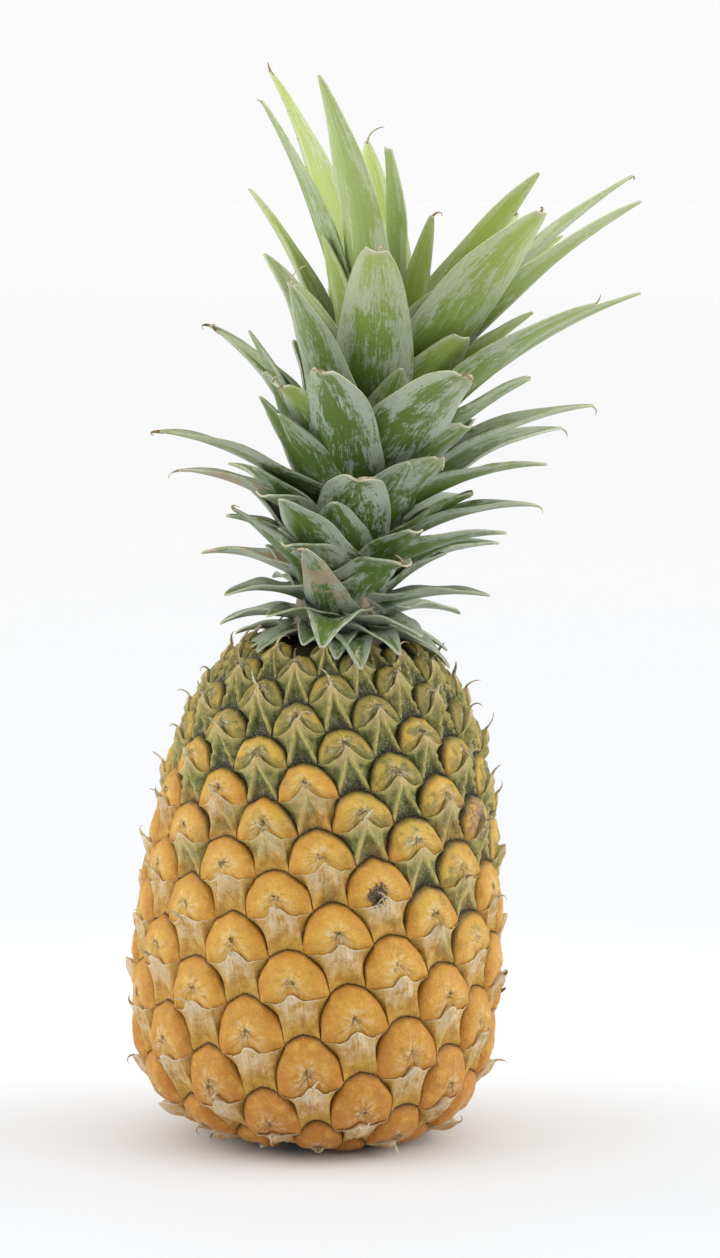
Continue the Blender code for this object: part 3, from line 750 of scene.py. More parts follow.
def leaf_points(leaf):
    """Points of a leaf, row by row from its foot to its tip."""
    shape, angle = shape_and_angle(leaf)
    angle += radians(shape["turn"])
    middle, along, right, front = stem_frame(shape["height"])
    outward = sin(angle) * right + cos(angle) * front
    across = along.cross(outward)
    point = middle + outward * stem_radius(shape["height"]) * 0.4
    columns = np.linspace(-0.5, 0.5, LEAF_COLUMNS + 1)
    blunt = bluntness(leaf, shape["end"])
    wave_start = 5.0 * LEAF_CHANCE[leaf, 0]
    rows = []
    for step in range(LEAF_ROWS + 1):
        share = step / LEAF_ROWS
        tilt = radians(shape["lift"] + shape["curl"] * share ** 1.3)
        heading = cos(tilt) * along + sin(tilt) * outward
        if step:
            point = point + heading * shape["length"] / LEAF_ROWS
        taper = (1.0 - share ** blunt) ** 0.85
        width = shape["width"] * taper * (1.18 - 0.18 * float(smooth_step(0.0, 0.30, share)))
        width += shape["end"] * float(smooth_step(0.0, 1.0, share))
        flatter = TROUGH_LOSS * float(smooth_step(0.0, 0.35, share))
        trough = width * (TROUGH_AT_FOOT - flatter - 0.04 * share)
        wave = 0.03 * width * sin(share * 15.0 + wave_start)
        lift = trough * (np.abs(columns) * 2.0) ** 1.7 + wave * columns * 2.0
        place = np.array(point)[None, :] + columns[:, None] * width * np.array(across)[None, :]
        rows.append(place + lift[:, None] * np.array(heading.cross(across))[None, :])
    return np.stack(rows)


print("points of a leaf:", (LEAF_COLUMNS + 1) * (LEAF_ROWS + 1))


# %% Make the leaves
def grid_uv(columns, rows):
    """A UV map that runs once across a grid blank and once along it."""
    return np.stack(np.meshgrid(
        np.linspace(0.0, 1.0, columns + 1), np.linspace(0.0, 1.0, rows + 1)), axis=-1)


leaf_blank, leaf_row, leaf_column = grid_blank("leaf blank", LEAF_COLUMNS, LEAF_ROWS)
leaf_pick = (leaf_row, leaf_column)
leaf_uv = grid_uv(LEAF_COLUMNS, LEAF_ROWS)[leaf_pick]
leaves = []
for leaf in range(-COLLAR_COUNT, ALL_LEAVES):
    points = leaf_points(leaf)[leaf_pick]
    luck = LEAF_CHANCE[leaf, 1] * 0.5 + 0.5
    marks = np.tile([leaf_age(leaf), 0.0, luck, float(leaf in DRY_LEAVES)], (len(points), 1))
    leaves.append(copy_of(leaf_blank, "leaf", points, marks, leaf_uv))
bpy.data.objects.remove(leaf_blank, do_unlink=True)
print("leaves made:", len(leaves))

# %% Thicken the leaves
LEAF_THICKNESS = 0.0007
crown = join(leaves, "crown_leaves")
wall = crown.modifiers.new("leaf thickness", "SOLIDIFY")
wall.thickness = LEAF_THICKNESS
wall.offset = 0.0
wall.material_offset = 1
wall.material_offset_rim = 1
bpy.ops.object.modifier_apply(modifier=wall.name)
bpy.ops.object.shade_smooth_by_angle(angle=radians(50.0))
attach(crown, "root")
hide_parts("crown")
print("crown:", triangles(crown), "triangles")

# %% [markdown]
# ## Spines
# The margins of the leaves carry small, forward-pointing spines. A row of three-sided cones
# is made once with an Array modifier, and a copy of the row follows each margin.

# %% Row of spines
SPINE_COUNT = 22
SPINE_LENGTH = 0.0010
SPINE_BASE = 0.0009
SPINE_SINK = 0.0003
FIRST_SPINY_LEAF = 4
bpy.ops.object.select_all(action="DESELECT")
bpy.ops.mesh.primitive_cone_add(vertices=3, radius1=0.35, depth=1.0, end_fill_type="NOTHING",
                                location=(0.0, 0.0, 0.5))
spine_blank = bpy.context.active_object
bpy.ops.object.transform_apply(location=True, rotation=False, scale=False)
row_of_spines = spine_blank.modifiers.new("row", "ARRAY")
row_of_spines.count = SPINE_COUNT
row_of_spines.use_relative_offset = False
row_of_spines.use_constant_offset = True
row_of_spines.constant_offset_displace = (1.0, 0.0, 0.0)
bpy.ops.object.modifier_apply(modifier=row_of_spines.name)
places = places_of(spine_blank.data)
spine = np.rint(places[:, 0]).astype(int)
local = places - np.stack([spine, 0 * spine, 0 * spine], axis=-1)
print("points of a row of spines:", len(places))


# %% Make the spines
def unit(vectors):
    return vectors / np.maximum(np.linalg.norm(vectors, axis=-1, keepdims=True), 1e-9)


def spine_points(points, where, column, beside):
    """Points of one row of spines along a margin of a leaf."""
    low = np.floor(where).astype(int)
    margin = points[:, column]
    step = margin[low + 1] - margin[low]
    foot = margin[low] + step * (where - low)[:, None]
    along = unit(step)
    out = unit(foot - points[low, beside])
    normal = np.cross(along, out)
    lean = unit(out + 0.8 * along)
    size = (1.0 - 0.35 * where / LEAF_ROWS)[:, None]
    base = foot - SPINE_SINK * out
    spread = local[:, :1] * along[spine] + 0.6 * local[:, 1:2] * normal[spine]
    return base[spine] + size[spine] * (SPINE_BASE * spread + SPINE_LENGTH * local[:, 2:] * lean[spine])


spines = []
for leaf in range(FIRST_SPINY_LEAF, ALL_LEAVES):
    points = leaf_points(leaf)
    odd = chance.uniform(-0.3, 0.3, SPINE_COUNT)
    where = (np.arange(SPINE_COUNT) + 1.0 + odd) / (SPINE_COUNT + 1.0) * LEAF_ROWS * 0.94
    for column, beside in ((0, 1), (-1, -2)):
        mesh = spine_blank.data.copy()
        mesh.vertices.foreach_set("co", spine_points(points, where, column, beside).ravel())
        piece = bpy.data.objects.new("spines", mesh)
        bpy.context.collection.objects.link(piece)
        spines.append(piece)
bpy.data.objects.remove(spine_blank, do_unlink=True)
spine_set = join(spines, "leaf_spines")
bpy.ops.object.mode_set(mode="EDIT")
bpy.ops.mesh.select_all(action="SELECT")
bpy.ops.mesh.normals_make_consistent(inside=False)
bpy.ops.object.mode_set(mode="OBJECT")
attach(spine_set, "root")
print("spines:", len(spines) * SPINE_COUNT, "with", triangles(spine_set), "triangles")

# %% [markdown]
# ## Dry threads
# The tips of the bracts and of many leaves end in a dry, curled thread. A thread is a thin
# rolled-up grid that tapers and curls; one blank is copied for every tip.

# %% One thread
THREAD_SIDES = 4
THREAD_ROWS = 8
THREAD_OVAL = 1.7
thread_blank, thread_row, thread_column = grid_blank("thread blank", THREAD_SIDES, THREAD_ROWS)
thread_pick = (thread_row, thread_column)
thread_uv = grid_uv(THREAD_SIDES, THREAD_ROWS)[thread_pick]
threads = []


def thread_points(start, forward, bend, length, thickness, curl):
    """Rings of points along a thread that starts forward and curls towards `bend`."""
    forward = unit(forward)
    bend = unit(bend - np.dot(bend, forward) * forward)
    side = np.cross(forward, bend)
    round_it = np.linspace(0.0, 2.0 * pi, THREAD_SIDES + 1)[:, None]
    point = np.array(start, dtype=float)
    rings = []
    for step in range(THREAD_ROWS + 1):
        share = step / THREAD_ROWS
        heading = forward * cos(curl * share ** 1.3) + bend * sin(curl * share ** 1.3)
        if step:
            point = point + heading * length / THREAD_ROWS
        radius = thickness * (1.0 - 0.8 * share)
        over = np.cross(heading, side)
        ring = THREAD_OVAL * np.cos(round_it) * side + np.sin(round_it) * over
        rings.append(point + radius * ring)
    rings = np.stack(rings)
    rings[..., 2] = np.maximum(rings[..., 2], FLOOR_GAP)
    return rings


def add_thread(points, dryness):
    points = points[thread_pick]
    marks = np.full((len(points), 4), dryness)
    threads.append(copy_of(thread_blank, "thread", points, marks, thread_uv))


print("points of a thread:", (THREAD_SIDES + 1) * (THREAD_ROWS + 1))

# %% Threads of the bracts
BRACT_THREAD = 0.00045
BRACT_ROOT = 0.0008
HIDDEN_EYES = 4
BACK_ROW = BRACT_ROWS - 3
for number in range(LOWEST_EYE + HIDDEN_EYES, HIGHEST_EYE + 1):
    odd = chance.uniform(-1.0, 1.0, 6)
    young = youth(number)
    if odd[0] < -0.35 - 0.8 * young:
        continue
    points, _ = eye_points(number)
    column = EYE_COLUMNS // 2 + round(0.7 * EYE_CHANCE[number - LOWEST_EYE, 0])
    tip = points[BRACT_ROWS, column]
    beside = points[BACK_ROW, column + 2] - points[BACK_ROW, column - 2]
    upward = unit(tip - points[BACK_ROW, column])
    outward = unit(np.cross(beside, upward))
    forward = unit(0.75 * upward + (0.55 + 0.25 * odd[1]) * outward + 0.3 * odd[2] * unit(beside))
    bend = unit(0.8 * odd[3] * unit(beside) + outward * (0.8 if odd[4] > 0.0 else -0.5))
    length = BRACT_ROOT + 0.0036 + 0.0014 * odd[5] + 0.0016 * young
    points = thread_points(
        tip - BRACT_ROOT * forward, forward, bend, length, BRACT_THREAD, 1.6 + 1.0 * odd[2])
    add_thread(points, 0.4 + 0.3 * odd[1])
print("threads of the bracts:", len(threads))

# %% Threads of the leaves
LEAF_THREAD = 0.00042
LEAF_ROOT = 0.0015
FIRST_DRY_TIP = 8
for leaf in range(FIRST_DRY_TIP, ALL_LEAVES):
    odd = chance.uniform(-1.0, 1.0, 6)
    if odd[0] < -0.25 or LEAF_COUNT <= leaf < FIRST_FRONT:
        continue
    points = leaf_points(leaf)
    tip = points[-1].mean(axis=0)
    along = unit(tip - points[-4].mean(axis=0))
    across = unit(points[-4, -1] - points[-4, 0])
    bend = unit(np.cross(along, across) * odd[1] + across * odd[2])
    length = 0.0075 + 0.0035 * odd[3]
    points = thread_points(
        tip - LEAF_ROOT * along, along, bend, length, LEAF_THREAD, 2.2 + 1.2 * odd[4])
    add_thread(points, 0.6 + 0.3 * odd[5])
bpy.data.objects.remove(thread_blank, do_unlink=True)
print("threads in all:", len(threads))

# %% Close the threads
thread_set = join(threads, "dry_threads")
bpy.ops.object.mode_set(mode="EDIT")
bpy.ops.mesh.select_all(action="SELECT")
bpy.ops.mesh.remove_doubles(threshold=0.00001)
close_holes()
bpy.ops.object.mode_set(mode="OBJECT")
bpy.ops.object.shade_smooth_by_angle(angle=radians(60.0))
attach(thread_set, "root")
print("threads:", triangles(thread_set), "triangles")

# %% [markdown]
# ## Stem between the leaves
# Between the feet of the leaves the stem of the crown can just be seen. It is a cylinder
# whose sides are cut into rings, which are then set along the bend of the stem.

# %% Make the stem
STEM_RINGS = 6
bpy.ops.object.select_all(action="DESELECT")
bpy.ops.mesh.primitive_cylinder_add(vertices=32, radius=1.0, depth=1.0, end_fill_type="NGON")
stem = bpy.context.active_object
stem.name = "crown_stem"
bpy.ops.object.mode_set(mode="EDIT")
bpy.ops.mesh.select_all(action="DESELECT")
bpy.ops.object.mode_set(mode="OBJECT")
for edge in stem.data.edges:
    start, end = (stem.data.vertices[index].co for index in edge.vertices)
    edge.select = abs(start.z - end.z) > 0.5
bpy.ops.object.mode_set(mode="EDIT")
bpy.ops.mesh.select_mode(type="EDGE")
bpy.ops.mesh.subdivide(number_cuts=STEM_RINGS - 1)
bpy.ops.object.mode_set(mode="OBJECT")
for vertex in stem.data.vertices:
    height = (vertex.co.z + 0.5) * STEM_HEIGHT
    middle, _, right, front = stem_frame(height)
    radius = stem_radius(height)
    vertex.co = middle + radius * (vertex.co.x * right - vertex.co.y * front)
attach(stem, "root")
print("stem:", triangles(stem), "triangles")

# %% [markdown]
# ## Finishes
# Each finish is a Principled shader whose colour, roughness and bump come from noise, from
# the UV map of an eye or a leaf, and from the marks painted on their points. Every effect
# that several materials share is a shader node group. The groups put out only colours and
# values, and the shader itself stays in each material.

# %% Helpers for materials
class Nodes:
    """Adds nodes to a tree and links them, one line each."""

    def __init__(self, tree):
        self.tree = tree
        self.count = 0

    def add(self, kind, values=None, **settings):
        node = self.tree.nodes.new(kind)
        node.location = (200.0 * (self.count // 4), -220.0 * (self.count % 4))
        self.count += 1
        for name, value in settings.items():
            setattr(node, name, value)
        for name, value in (values or {}).items():
            self.put(value, node.inputs[name])
        return node

    def put(self, value, socket):
        """Links a socket, or sets a number, vector or colour."""
        if isinstance(value, bpy.types.NodeSocket):
            self.tree.links.new(value, socket)
        elif socket.type == "RGBA" and isinstance(value, tuple):
            socket.default_value = (*value, 1.0)
        else:
            socket.default_value = value

    def math(self, operation, first, second=0.0):
        return self.add("ShaderNodeMath", {0: first, 1: second}, operation=operation).outputs[0]

    def plus(self, first, second):
        return self.math("ADD", first, second)

    def minus(self, first, second):
        return self.math("SUBTRACT", first, second)

    def times(self, first, second):
        return self.math("MULTIPLY", first, second)

    def mix(self, factor, first, second, blend="MIX"):
        node = self.add("ShaderNodeMix", {0: factor, 6: first, 7: second},
                        data_type="RGBA", blend_type=blend)
        return node.outputs[2]

    def ramp(self, value, low, high, start=0.0, end=1.0):
        node = self.add("ShaderNodeMapRange", {
            "Value": value, "From Min": low, "From Max": high, "To Min": start, "To Max": end,
        }, interpolation_type="SMOOTHSTEP")
        return node.outputs[0]

    def noise(self, vector, scale, detail=3.0, roughness=0.55, distortion=0.0):
        return self.add("ShaderNodeTexNoise", {
            "Vector": vector, "Scale": scale, "Detail": detail, "Roughness": roughness,
            "Distortion": distortion,
        }).outputs["Fac"]

    def stretch(self, vector, scale):
        return self.add("ShaderNodeMapping", {"Vector": vector, "Scale": scale}).outputs[0]

    def distance(self, vector, point):
        return self.add("ShaderNodeVectorMath", {0: vector, 1: point},
                        operation="DISTANCE").outputs["Value"]

    def bump(self, height, strength, distance, shader):
        node = self.add("ShaderNodeBump", {
            "Height": height, "Strength": strength, "Distance": distance})
        self.put(node.outputs[0], shader.inputs["Normal"])


def new_material(name):
    made = bpy.data.materials.new(name)
    made.use_nodes = True
    return made, Nodes(made.node_tree), made.node_tree.nodes["Principled BSDF"]


def new_group(name, inputs, outputs):
    """An empty shader group with named sockets: its tree, nodes, inputs and outputs."""
    tree = bpy.data.node_groups.new(name, "ShaderNodeTree")
    for socket, kind in inputs.items():
        tree.interface.new_socket(socket, in_out="INPUT", socket_type="NodeSocket" + kind)
    for socket, kind in outputs.items():
        tree.interface.new_socket(socket, in_out="OUTPUT", socket_type="NodeSocket" + kind)
    nodes = Nodes(tree)
    given = nodes.add("NodeGroupInput").outputs
    return tree, nodes, given, nodes.add("NodeGroupOutput").inputs


def wear_only(piece, *finishes):
    piece.data.materials.clear()
    for finish in finishes:
        piece.data.materials.append(finish)


print("slots before the finishes:", [len(piece.material_slots) for piece in (skin, crown, stem)])


# %% [markdown]
# ## Skin
# The skin of a ripe fruit is orange below and still green under the crown, and the line
# between them slants. The domes are waxy, yellow round the scar of the flower and darker
# at the rim. The bracts are papery and fibrous in the middle, and the pale rim of each free
# edge is brightened further with a painted highlight. The creases between the eyes lie in
# shade, and this shade is painted into the colour: brown on the ripe part, near-black green
# higher up, and spreading onto the feet of the green bracts. One material does it all,
# because the marks tell it for each point whether it is on a bract and how far it is from a
# crease.

# %% Skin: places and noises
skin_finish, nodes, shader = new_material("pineapple skin")
place = nodes.add("ShaderNodeTexCoord").outputs["Object"]
mark = nodes.add("ShaderNodeAttribute", attribute_name="marks")
bract, clear, luck = nodes.add("ShaderNodeSeparateColor", {"Color": mark.outputs["Color"]}).outputs
uv = nodes.add("ShaderNodeUVMap", uv_map="UVMap").outputs[0]
uv_part = nodes.add("ShaderNodeSeparateXYZ", {"Vector": uv})
across = nodes.minus(uv_part.outputs[0], 0.5)
up = uv_part.outputs[1]
right, _, height = nodes.add("ShaderNodeSeparateXYZ", {"Vector": place}).outputs
fine = nodes.noise(place, 1100.0, 3.0, 0.6)
middle = nodes.noise(place, 260.0, 5.0, 0.62)
broad = nodes.noise(place, 75.0, 4.0)
print("nodes so far:", nodes.count)

# %% Skin: how ripe it is
RIPE_SLANT = 0.37
SKIN_GREEN = (0.086, 0.126)
DOME_GREEN = (0.100, 0.150)
UNDER_CROWN = (0.132, 0.168)
ripe_line = nodes.plus(height, nodes.times(right, RIPE_SLANT))
ripe_line = nodes.plus(ripe_line, nodes.ramp(broad, 0.3, 0.7, -0.014, 0.014))
ripe_line = nodes.plus(ripe_line, nodes.ramp(luck, 0.0, 1.0, -0.012, 0.012))
green = nodes.ramp(ripe_line, *SKIN_GREEN)
dome_unripe = nodes.ramp(ripe_line, *DOME_GREEN)
crown_near = nodes.ramp(ripe_line, *UNDER_CROWN)
low_red = nodes.ramp(height, 0.080, 0.0)
print("skin turns green between", *SKIN_GREEN, "m above the floor")

# %% Skin: ripe domes
DOME_GOLD = (0.64, 0.365, 0.050)
DOME_ORANGE = (0.50, 0.230, 0.018)
DOME_RED = (0.46, 0.165, 0.016)
DOME_LIGHT = (0.68, 0.41, 0.08)
DOME_BROWN = (0.36, 0.145, 0.012)
away_up = nodes.times(nodes.minus(up, 0.62), 1.1)
away = nodes.math("SQRT", nodes.plus(nodes.times(across, across), nodes.times(away_up, away_up)))
rim = nodes.ramp(nodes.plus(away, nodes.ramp(middle, 0.3, 0.7, -0.05, 0.05)), 0.08, 0.40)
dome_ripe = nodes.mix(rim, DOME_GOLD, DOME_ORANGE)
dome_ripe = nodes.mix(nodes.times(low_red, 0.85), dome_ripe, DOME_RED)
dome_ripe = nodes.mix(nodes.ramp(middle, 0.46, 0.72, 0.0, 0.60), dome_ripe, DOME_LIGHT)
dome_ripe = nodes.mix(nodes.ramp(middle, 0.50, 0.30, 0.0, 0.50), dome_ripe, DOME_BROWN)
print("nodes so far:", nodes.count)

# %% Skin: green domes
OLIVE = (0.20, 0.185, 0.030)
OLIVE_GOLD = (0.56, 0.37, 0.050)
OLIVE_DARK = (0.125, 0.125, 0.028)
OLIVE_DEEP = (0.115, 0.115, 0.020)
gold = nodes.ramp(nodes.plus(up, nodes.ramp(middle, 0.3, 0.7, -0.14, 0.14)), 0.60, 0.84)
dome_green = nodes.mix(gold, OLIVE, OLIVE_GOLD)
dome_green = nodes.mix(nodes.times(crown_near, 0.62), dome_green, OLIVE_DARK)
dome_green = nodes.mix(nodes.ramp(middle, 0.50, 0.32, 0.0, 0.6), dome_green, OLIVE_DEEP)
dome = nodes.mix(dome_unripe, dome_ripe, dome_green)
print("nodes so far:", nodes.count)

# %% Skin: scar of the flower
SCAR_CREAM = (0.66, 0.53, 0.32)
SCAR_BROWN = (0.20, 0.085, 0.020)
SCAR_DARK = (0.050, 0.038, 0.022)
round_scar = nodes.add("ShaderNodeCombineXYZ", {
    0: nodes.times(nodes.math("ARCTAN2", away_up, across), 4.0),
    1: nodes.times(away, 9.0),
    2: nodes.times(luck, 40.0),
}).outputs[0]
rays = nodes.noise(round_scar, 1.0, 4.0, 0.6)
scar = nodes.times(nodes.ramp(away, 0.24, 0.04), nodes.ramp(rays, 0.46, 0.62))
dome = nodes.mix(nodes.times(scar, 0.80), dome, SCAR_CREAM)
dark_ray = nodes.times(nodes.ramp(away, 0.30, 0.08), nodes.ramp(rays, 0.42, 0.30))
dome = nodes.mix(nodes.times(dark_ray, 0.5), dome, SCAR_BROWN)
pit = nodes.times(nodes.ramp(away, 0.085, 0.015), nodes.ramp(nodes.noise(place, 800.0), 0.42, 0.58))
dome = nodes.mix(nodes.times(pit, 0.9), dome, SCAR_DARK)
print("nodes so far:", nodes.count)

# %% Skin: dry bracts
ARM_BROWN = (0.48, 0.235, 0.026)
ARM_GOLD = (0.64, 0.375, 0.060)
STRAW = (0.62, 0.41, 0.13)
PAPER = (0.68, 0.56, 0.42)
FIBRE_BROWN = (0.36, 0.19, 0.075)
fibre = nodes.noise(nodes.stretch(uv, (60.0, 7.0, 1.0)), 1.0, 5.0, 0.65)
grain = nodes.plus(nodes.times(fibre, 0.5), nodes.times(middle, 0.5))
off_middle = nodes.math("ABSOLUTE", across)
inner = nodes.ramp(off_middle, 0.24, 0.05)
straw = nodes.ramp(nodes.plus(up, nodes.ramp(grain, 0.3, 0.7, -0.20, 0.20)), 0.12, 0.44)
paper = nodes.times(inner, nodes.ramp(up, 0.10, 0.40))
paper = nodes.times(paper, nodes.ramp(grain, 0.40, 0.58))
bract_ripe = nodes.mix(nodes.ramp(middle, 0.36, 0.62), ARM_BROWN, ARM_GOLD)
bract_ripe = nodes.mix(nodes.times(straw, 0.55), bract_ripe, STRAW)
bract_ripe = nodes.mix(nodes.times(paper, 0.90), bract_ripe, PAPER)
brown_fibre = nodes.times(inner, nodes.ramp(fibre, 0.42, 0.30, 0.0, 0.4))
bract_ripe = nodes.mix(brown_fibre, bract_ripe, FIBRE_BROWN)
print("nodes so far:", nodes.count)

# %% Skin: green bracts
FREE_EDGE = 0.458
PANEL_DARK = (0.125, 0.135, 0.028)
PANEL_LIGHT = (0.32, 0.30, 0.068)
PANEL_FOOT_SHADE = (0.026, 0.032, 0.012)
FROST = (0.42, 0.42, 0.33)
FOLD_CREAM = (0.58, 0.50, 0.165)
TIP_STRAW = (0.58, 0.42, 0.22)
TIP_RED = (0.36, 0.15, 0.060)
panel = nodes.mix(nodes.ramp(middle, 0.40, 0.62), PANEL_DARK, PANEL_LIGHT)
# Painted shade: the feet of the green bracts, next to the crease below them, are darkened.
panel = nodes.mix(nodes.times(nodes.ramp(up, 0.30, 0.02), 0.8), panel, PANEL_FOOT_SHADE)
frost = nodes.times(nodes.ramp(fine, 0.52, 0.62), nodes.ramp(middle, 0.44, 0.60))
panel = nodes.mix(nodes.times(frost, 0.55), panel, FROST)
fold_place = nodes.times(nodes.ramp(up, 0.0, FREE_EDGE, 1.0, 0.0), 1.0 / 6.0)
fold_away = nodes.math("ABSOLUTE", nodes.minus(off_middle, fold_place))
fold_away = nodes.plus(fold_away, nodes.ramp(middle, 0.3, 0.7, -0.016, 0.016))
fold_line = nodes.math("MAXIMUM", nodes.ramp(fold_away, 0.050, 0.006), nodes.ramp(up, 0.34, 0.44))
bract_green = nodes.mix(nodes.times(fold_line, 0.80), panel, FOLD_CREAM)
tip_near = nodes.times(nodes.ramp(up, 0.28, 0.5), nodes.ramp(inner, 0.45, 1.0))
bract_green = nodes.mix(nodes.times(tip_near, 0.80), bract_green, TIP_STRAW)
red_fibre = nodes.times(tip_near, nodes.ramp(fibre, 0.5, 0.62, 0.0, 0.8))
bract_green = nodes.mix(red_fibre, bract_green, TIP_RED)
print("nodes so far:", nodes.count)

# %% Skin: one bruise, and the painted shade of one hole
BRUISE_PLACE = (0.057, -0.028, 0.113)
BRUISE_PURPLE = (0.16, 0.085, 0.090)
HOLE_PLACE = (0.023, -0.057, 0.091)
HOLE_SHADE = (0.030, 0.018, 0.012)
from_bruise = nodes.distance(place, BRUISE_PLACE)
from_bruise = nodes.plus(from_bruise, nodes.ramp(middle, 0.3, 0.7, -0.004, 0.004))
bruise = nodes.times(nodes.ramp(from_bruise, 0.012, 0.005), nodes.ramp(fine, 0.35, 0.6))
from_hole = nodes.distance(place, HOLE_PLACE)
from_hole = nodes.plus(from_hole, nodes.ramp(fine, 0.3, 0.7, -0.001, 0.001))
# Painted shade: a dark disc stands for a hole in the skin that the mesh does not have.
hole_shade = nodes.ramp(from_hole, 0.0042, 0.0026)
colour = nodes.mix(bract, dome, nodes.mix(green, bract_ripe, bract_green))
colour = nodes.mix(nodes.times(bruise, 0.75), colour, BRUISE_PURPLE)
colour = nodes.mix(nodes.times(hole_shade, 0.92), colour, HOLE_SHADE)
print("bruise and hole at", BRUISE_PLACE, HOLE_PLACE)

# %% Skin: painted shade in the creases, pale rims with a painted highlight, grain and grit
CREASE_SHADE_BROWN = (0.20, 0.080, 0.008)
CREASE_SHADE_GREEN = (0.016, 0.020, 0.005)
SLIT_SHADE_BLACK = (0.022, 0.016, 0.003)
RIM_CREAM_AND_HIGHLIGHT = (0.78, 0.68, 0.48)
RIM_GREEN_AND_HIGHLIGHT = (0.62, 0.54, 0.24)
GRIT_PALE = (0.70, 0.62, 0.45)
EDGE_LINE = (0.435, 0.456)
# Painted shade: the colour darkens towards every crease between the eyes, brown on the ripe part and
# near-black green higher up, and a black slit of painted shade runs along the middle of each crease.
crease_shade_width = nodes.plus(
    nodes.ramp(bract, 0.0, 1.0, 0.34, 0.22), nodes.ramp(middle, 0.35, 0.65, -0.10, 0.10))
crease_shade_width = nodes.plus(crease_shade_width, nodes.times(green, 0.36))
crease = nodes.times(nodes.ramp(clear, crease_shade_width, 0.0), 0.90)
colour = nodes.mix(crease, colour, nodes.mix(green, CREASE_SHADE_BROWN, CREASE_SHADE_GREEN))
slit_shade = nodes.ramp(clear, nodes.ramp(green, 0.0, 1.0, 0.10, 0.18), 0.01)
colour = nodes.mix(nodes.times(slit_shade, 0.80), colour, SLIT_SHADE_BLACK)
# The band at the top of each bract is its pale papery rim, made paler still as a painted highlight
# where the rim catches the light.
edge_rim_and_highlight = nodes.times(nodes.ramp(up, *EDGE_LINE), bract)
colour = nodes.mix(nodes.times(edge_rim_and_highlight, 0.9), colour, nodes.mix(green, RIM_CREAM_AND_HIGHLIGHT, RIM_GREEN_AND_HIGHLIGHT))
colour = nodes.mix(nodes.ramp(fine, 0.35, 0.65, 0.0, 0.35), colour, (0.78, 0.72, 0.62), "MULTIPLY")
grit = nodes.ramp(nodes.noise(place, 2300.0, 2.0, 0.5), 0.58, 0.68)
grit = nodes.times(grit, nodes.ramp(bract, 0.0, 1.0, 0.22, 0.42))
colour = nodes.mix(grit, colour, GRIT_PALE)
nodes.put(colour, shader.inputs["Base Color"])
print("nodes for the colour of the skin:", nodes.count)

# %% Skin: surface
nodes.put(nodes.ramp(middle, 0.3, 0.7, 0.45, 0.65), shader.inputs["Roughness"])
relief = nodes.plus(nodes.times(fine, 0.35), nodes.times(middle, 1.3))
relief = nodes.plus(relief, nodes.times(fibre, nodes.times(bract, 0.9)))
nodes.bump(relief, 0.8, 0.0008, shader)
shader.inputs["Specular IOR Level"].default_value = 0.35
wear_only(skin, skin_finish)
print("finish of the skin:", skin_finish.name)

# %% [markdown]
# ## Leaves
# A leaf is dark green when old and yellow-green when young, and paler at its back. A wax
# bloom lies on it in smears, rubbed off along the veins and scratched through. Towards its
# foot, where the other leaves shade it, it is painted darker. The backs, the faces and the
# stem differ only in their greens and in how much bloom they carry, so one node group makes
# the surface of all three.

# %% Group: leaf surface
BLOOM_OLD = (0.46, 0.50, 0.42)
BLOOM_YOUNG = (0.68, 0.72, 0.54)
SCRATCH = (0.035, 0.055, 0.018)
MARGIN = (0.42, 0.44, 0.22)
DRY_PATCH = (0.40, 0.30, 0.20)
DRY_TIP = (0.52, 0.50, 0.34)
leaf_surface, nodes, given, result = new_group("leaf surface", {
    "Place": "Vector", "Flat": "Vector", "Age": "Float", "Luck": "Float", "Dry": "Float",
    "Old Green": "Color", "Dull Green": "Color", "Young Green": "Color", "Bloom": "Float",
}, {"Color": "Color", "Roughness": "Float", "Height": "Float"})
place = given["Place"]
flat_part = nodes.add("ShaderNodeSeparateXYZ", {"Vector": given["Flat"]})
across = nodes.math("ABSOLUTE", nodes.minus(flat_part.outputs[0], 0.5))
up = flat_part.outputs[1]
shift = nodes.add("ShaderNodeCombineXYZ", {0: given["Age"], 1: given["Luck"], 2: given["Luck"]})
shift = nodes.add("ShaderNodeVectorMath", {0: shift.outputs[0], 1: (37.0, 53.0, 71.0)},
                  operation="MULTIPLY")
own = nodes.add("ShaderNodeVectorMath", {0: given["Flat"], 1: shift.outputs[0]},
                operation="ADD").outputs[0]
vein = nodes.noise(nodes.stretch(own, (46.0, 1.5, 1.0)), 1.0, 4.0, 0.6)
smear = nodes.noise(nodes.stretch(own, (5.0, 3.4, 1.0)), 1.0, 6.0, 0.72, 0.8)
scratch = nodes.noise(nodes.stretch(own, (16.0, 5.0, 1.0)), 2.0, 5.0, 0.7, 1.6)
patch = nodes.noise(place, 34.0, 4.0, 0.6)
speck = nodes.noise(place, 520.0, 3.0, 0.6)
print("inputs of a leaf surface:", len(given) - 1)

# %% Group: greens of a leaf, darker towards the foot with painted shade
young = nodes.ramp(nodes.plus(nodes.times(given["Age"], 1.1), nodes.times(up, 0.62)), 0.74, 1.50)
lively = nodes.ramp(given["Luck"], 0.35, 0.75)
young_green = nodes.mix(lively, given["Dull Green"], given["Young Green"])
colour = nodes.mix(young, given["Old Green"], young_green)
colour = nodes.mix(nodes.ramp(vein, 0.35, 0.7, 0.0, 0.5), colour, (0.70, 0.80, 0.60), "MULTIPLY")
# Painted shade: the lower part of each leaf is darkened, most at its foot.
colour = nodes.mix(nodes.ramp(up, 0.60, 0.0, 0.0, 0.85), colour, (0.28, 0.36, 0.26), "MULTIPLY")
print("nodes so far:", nodes.count)

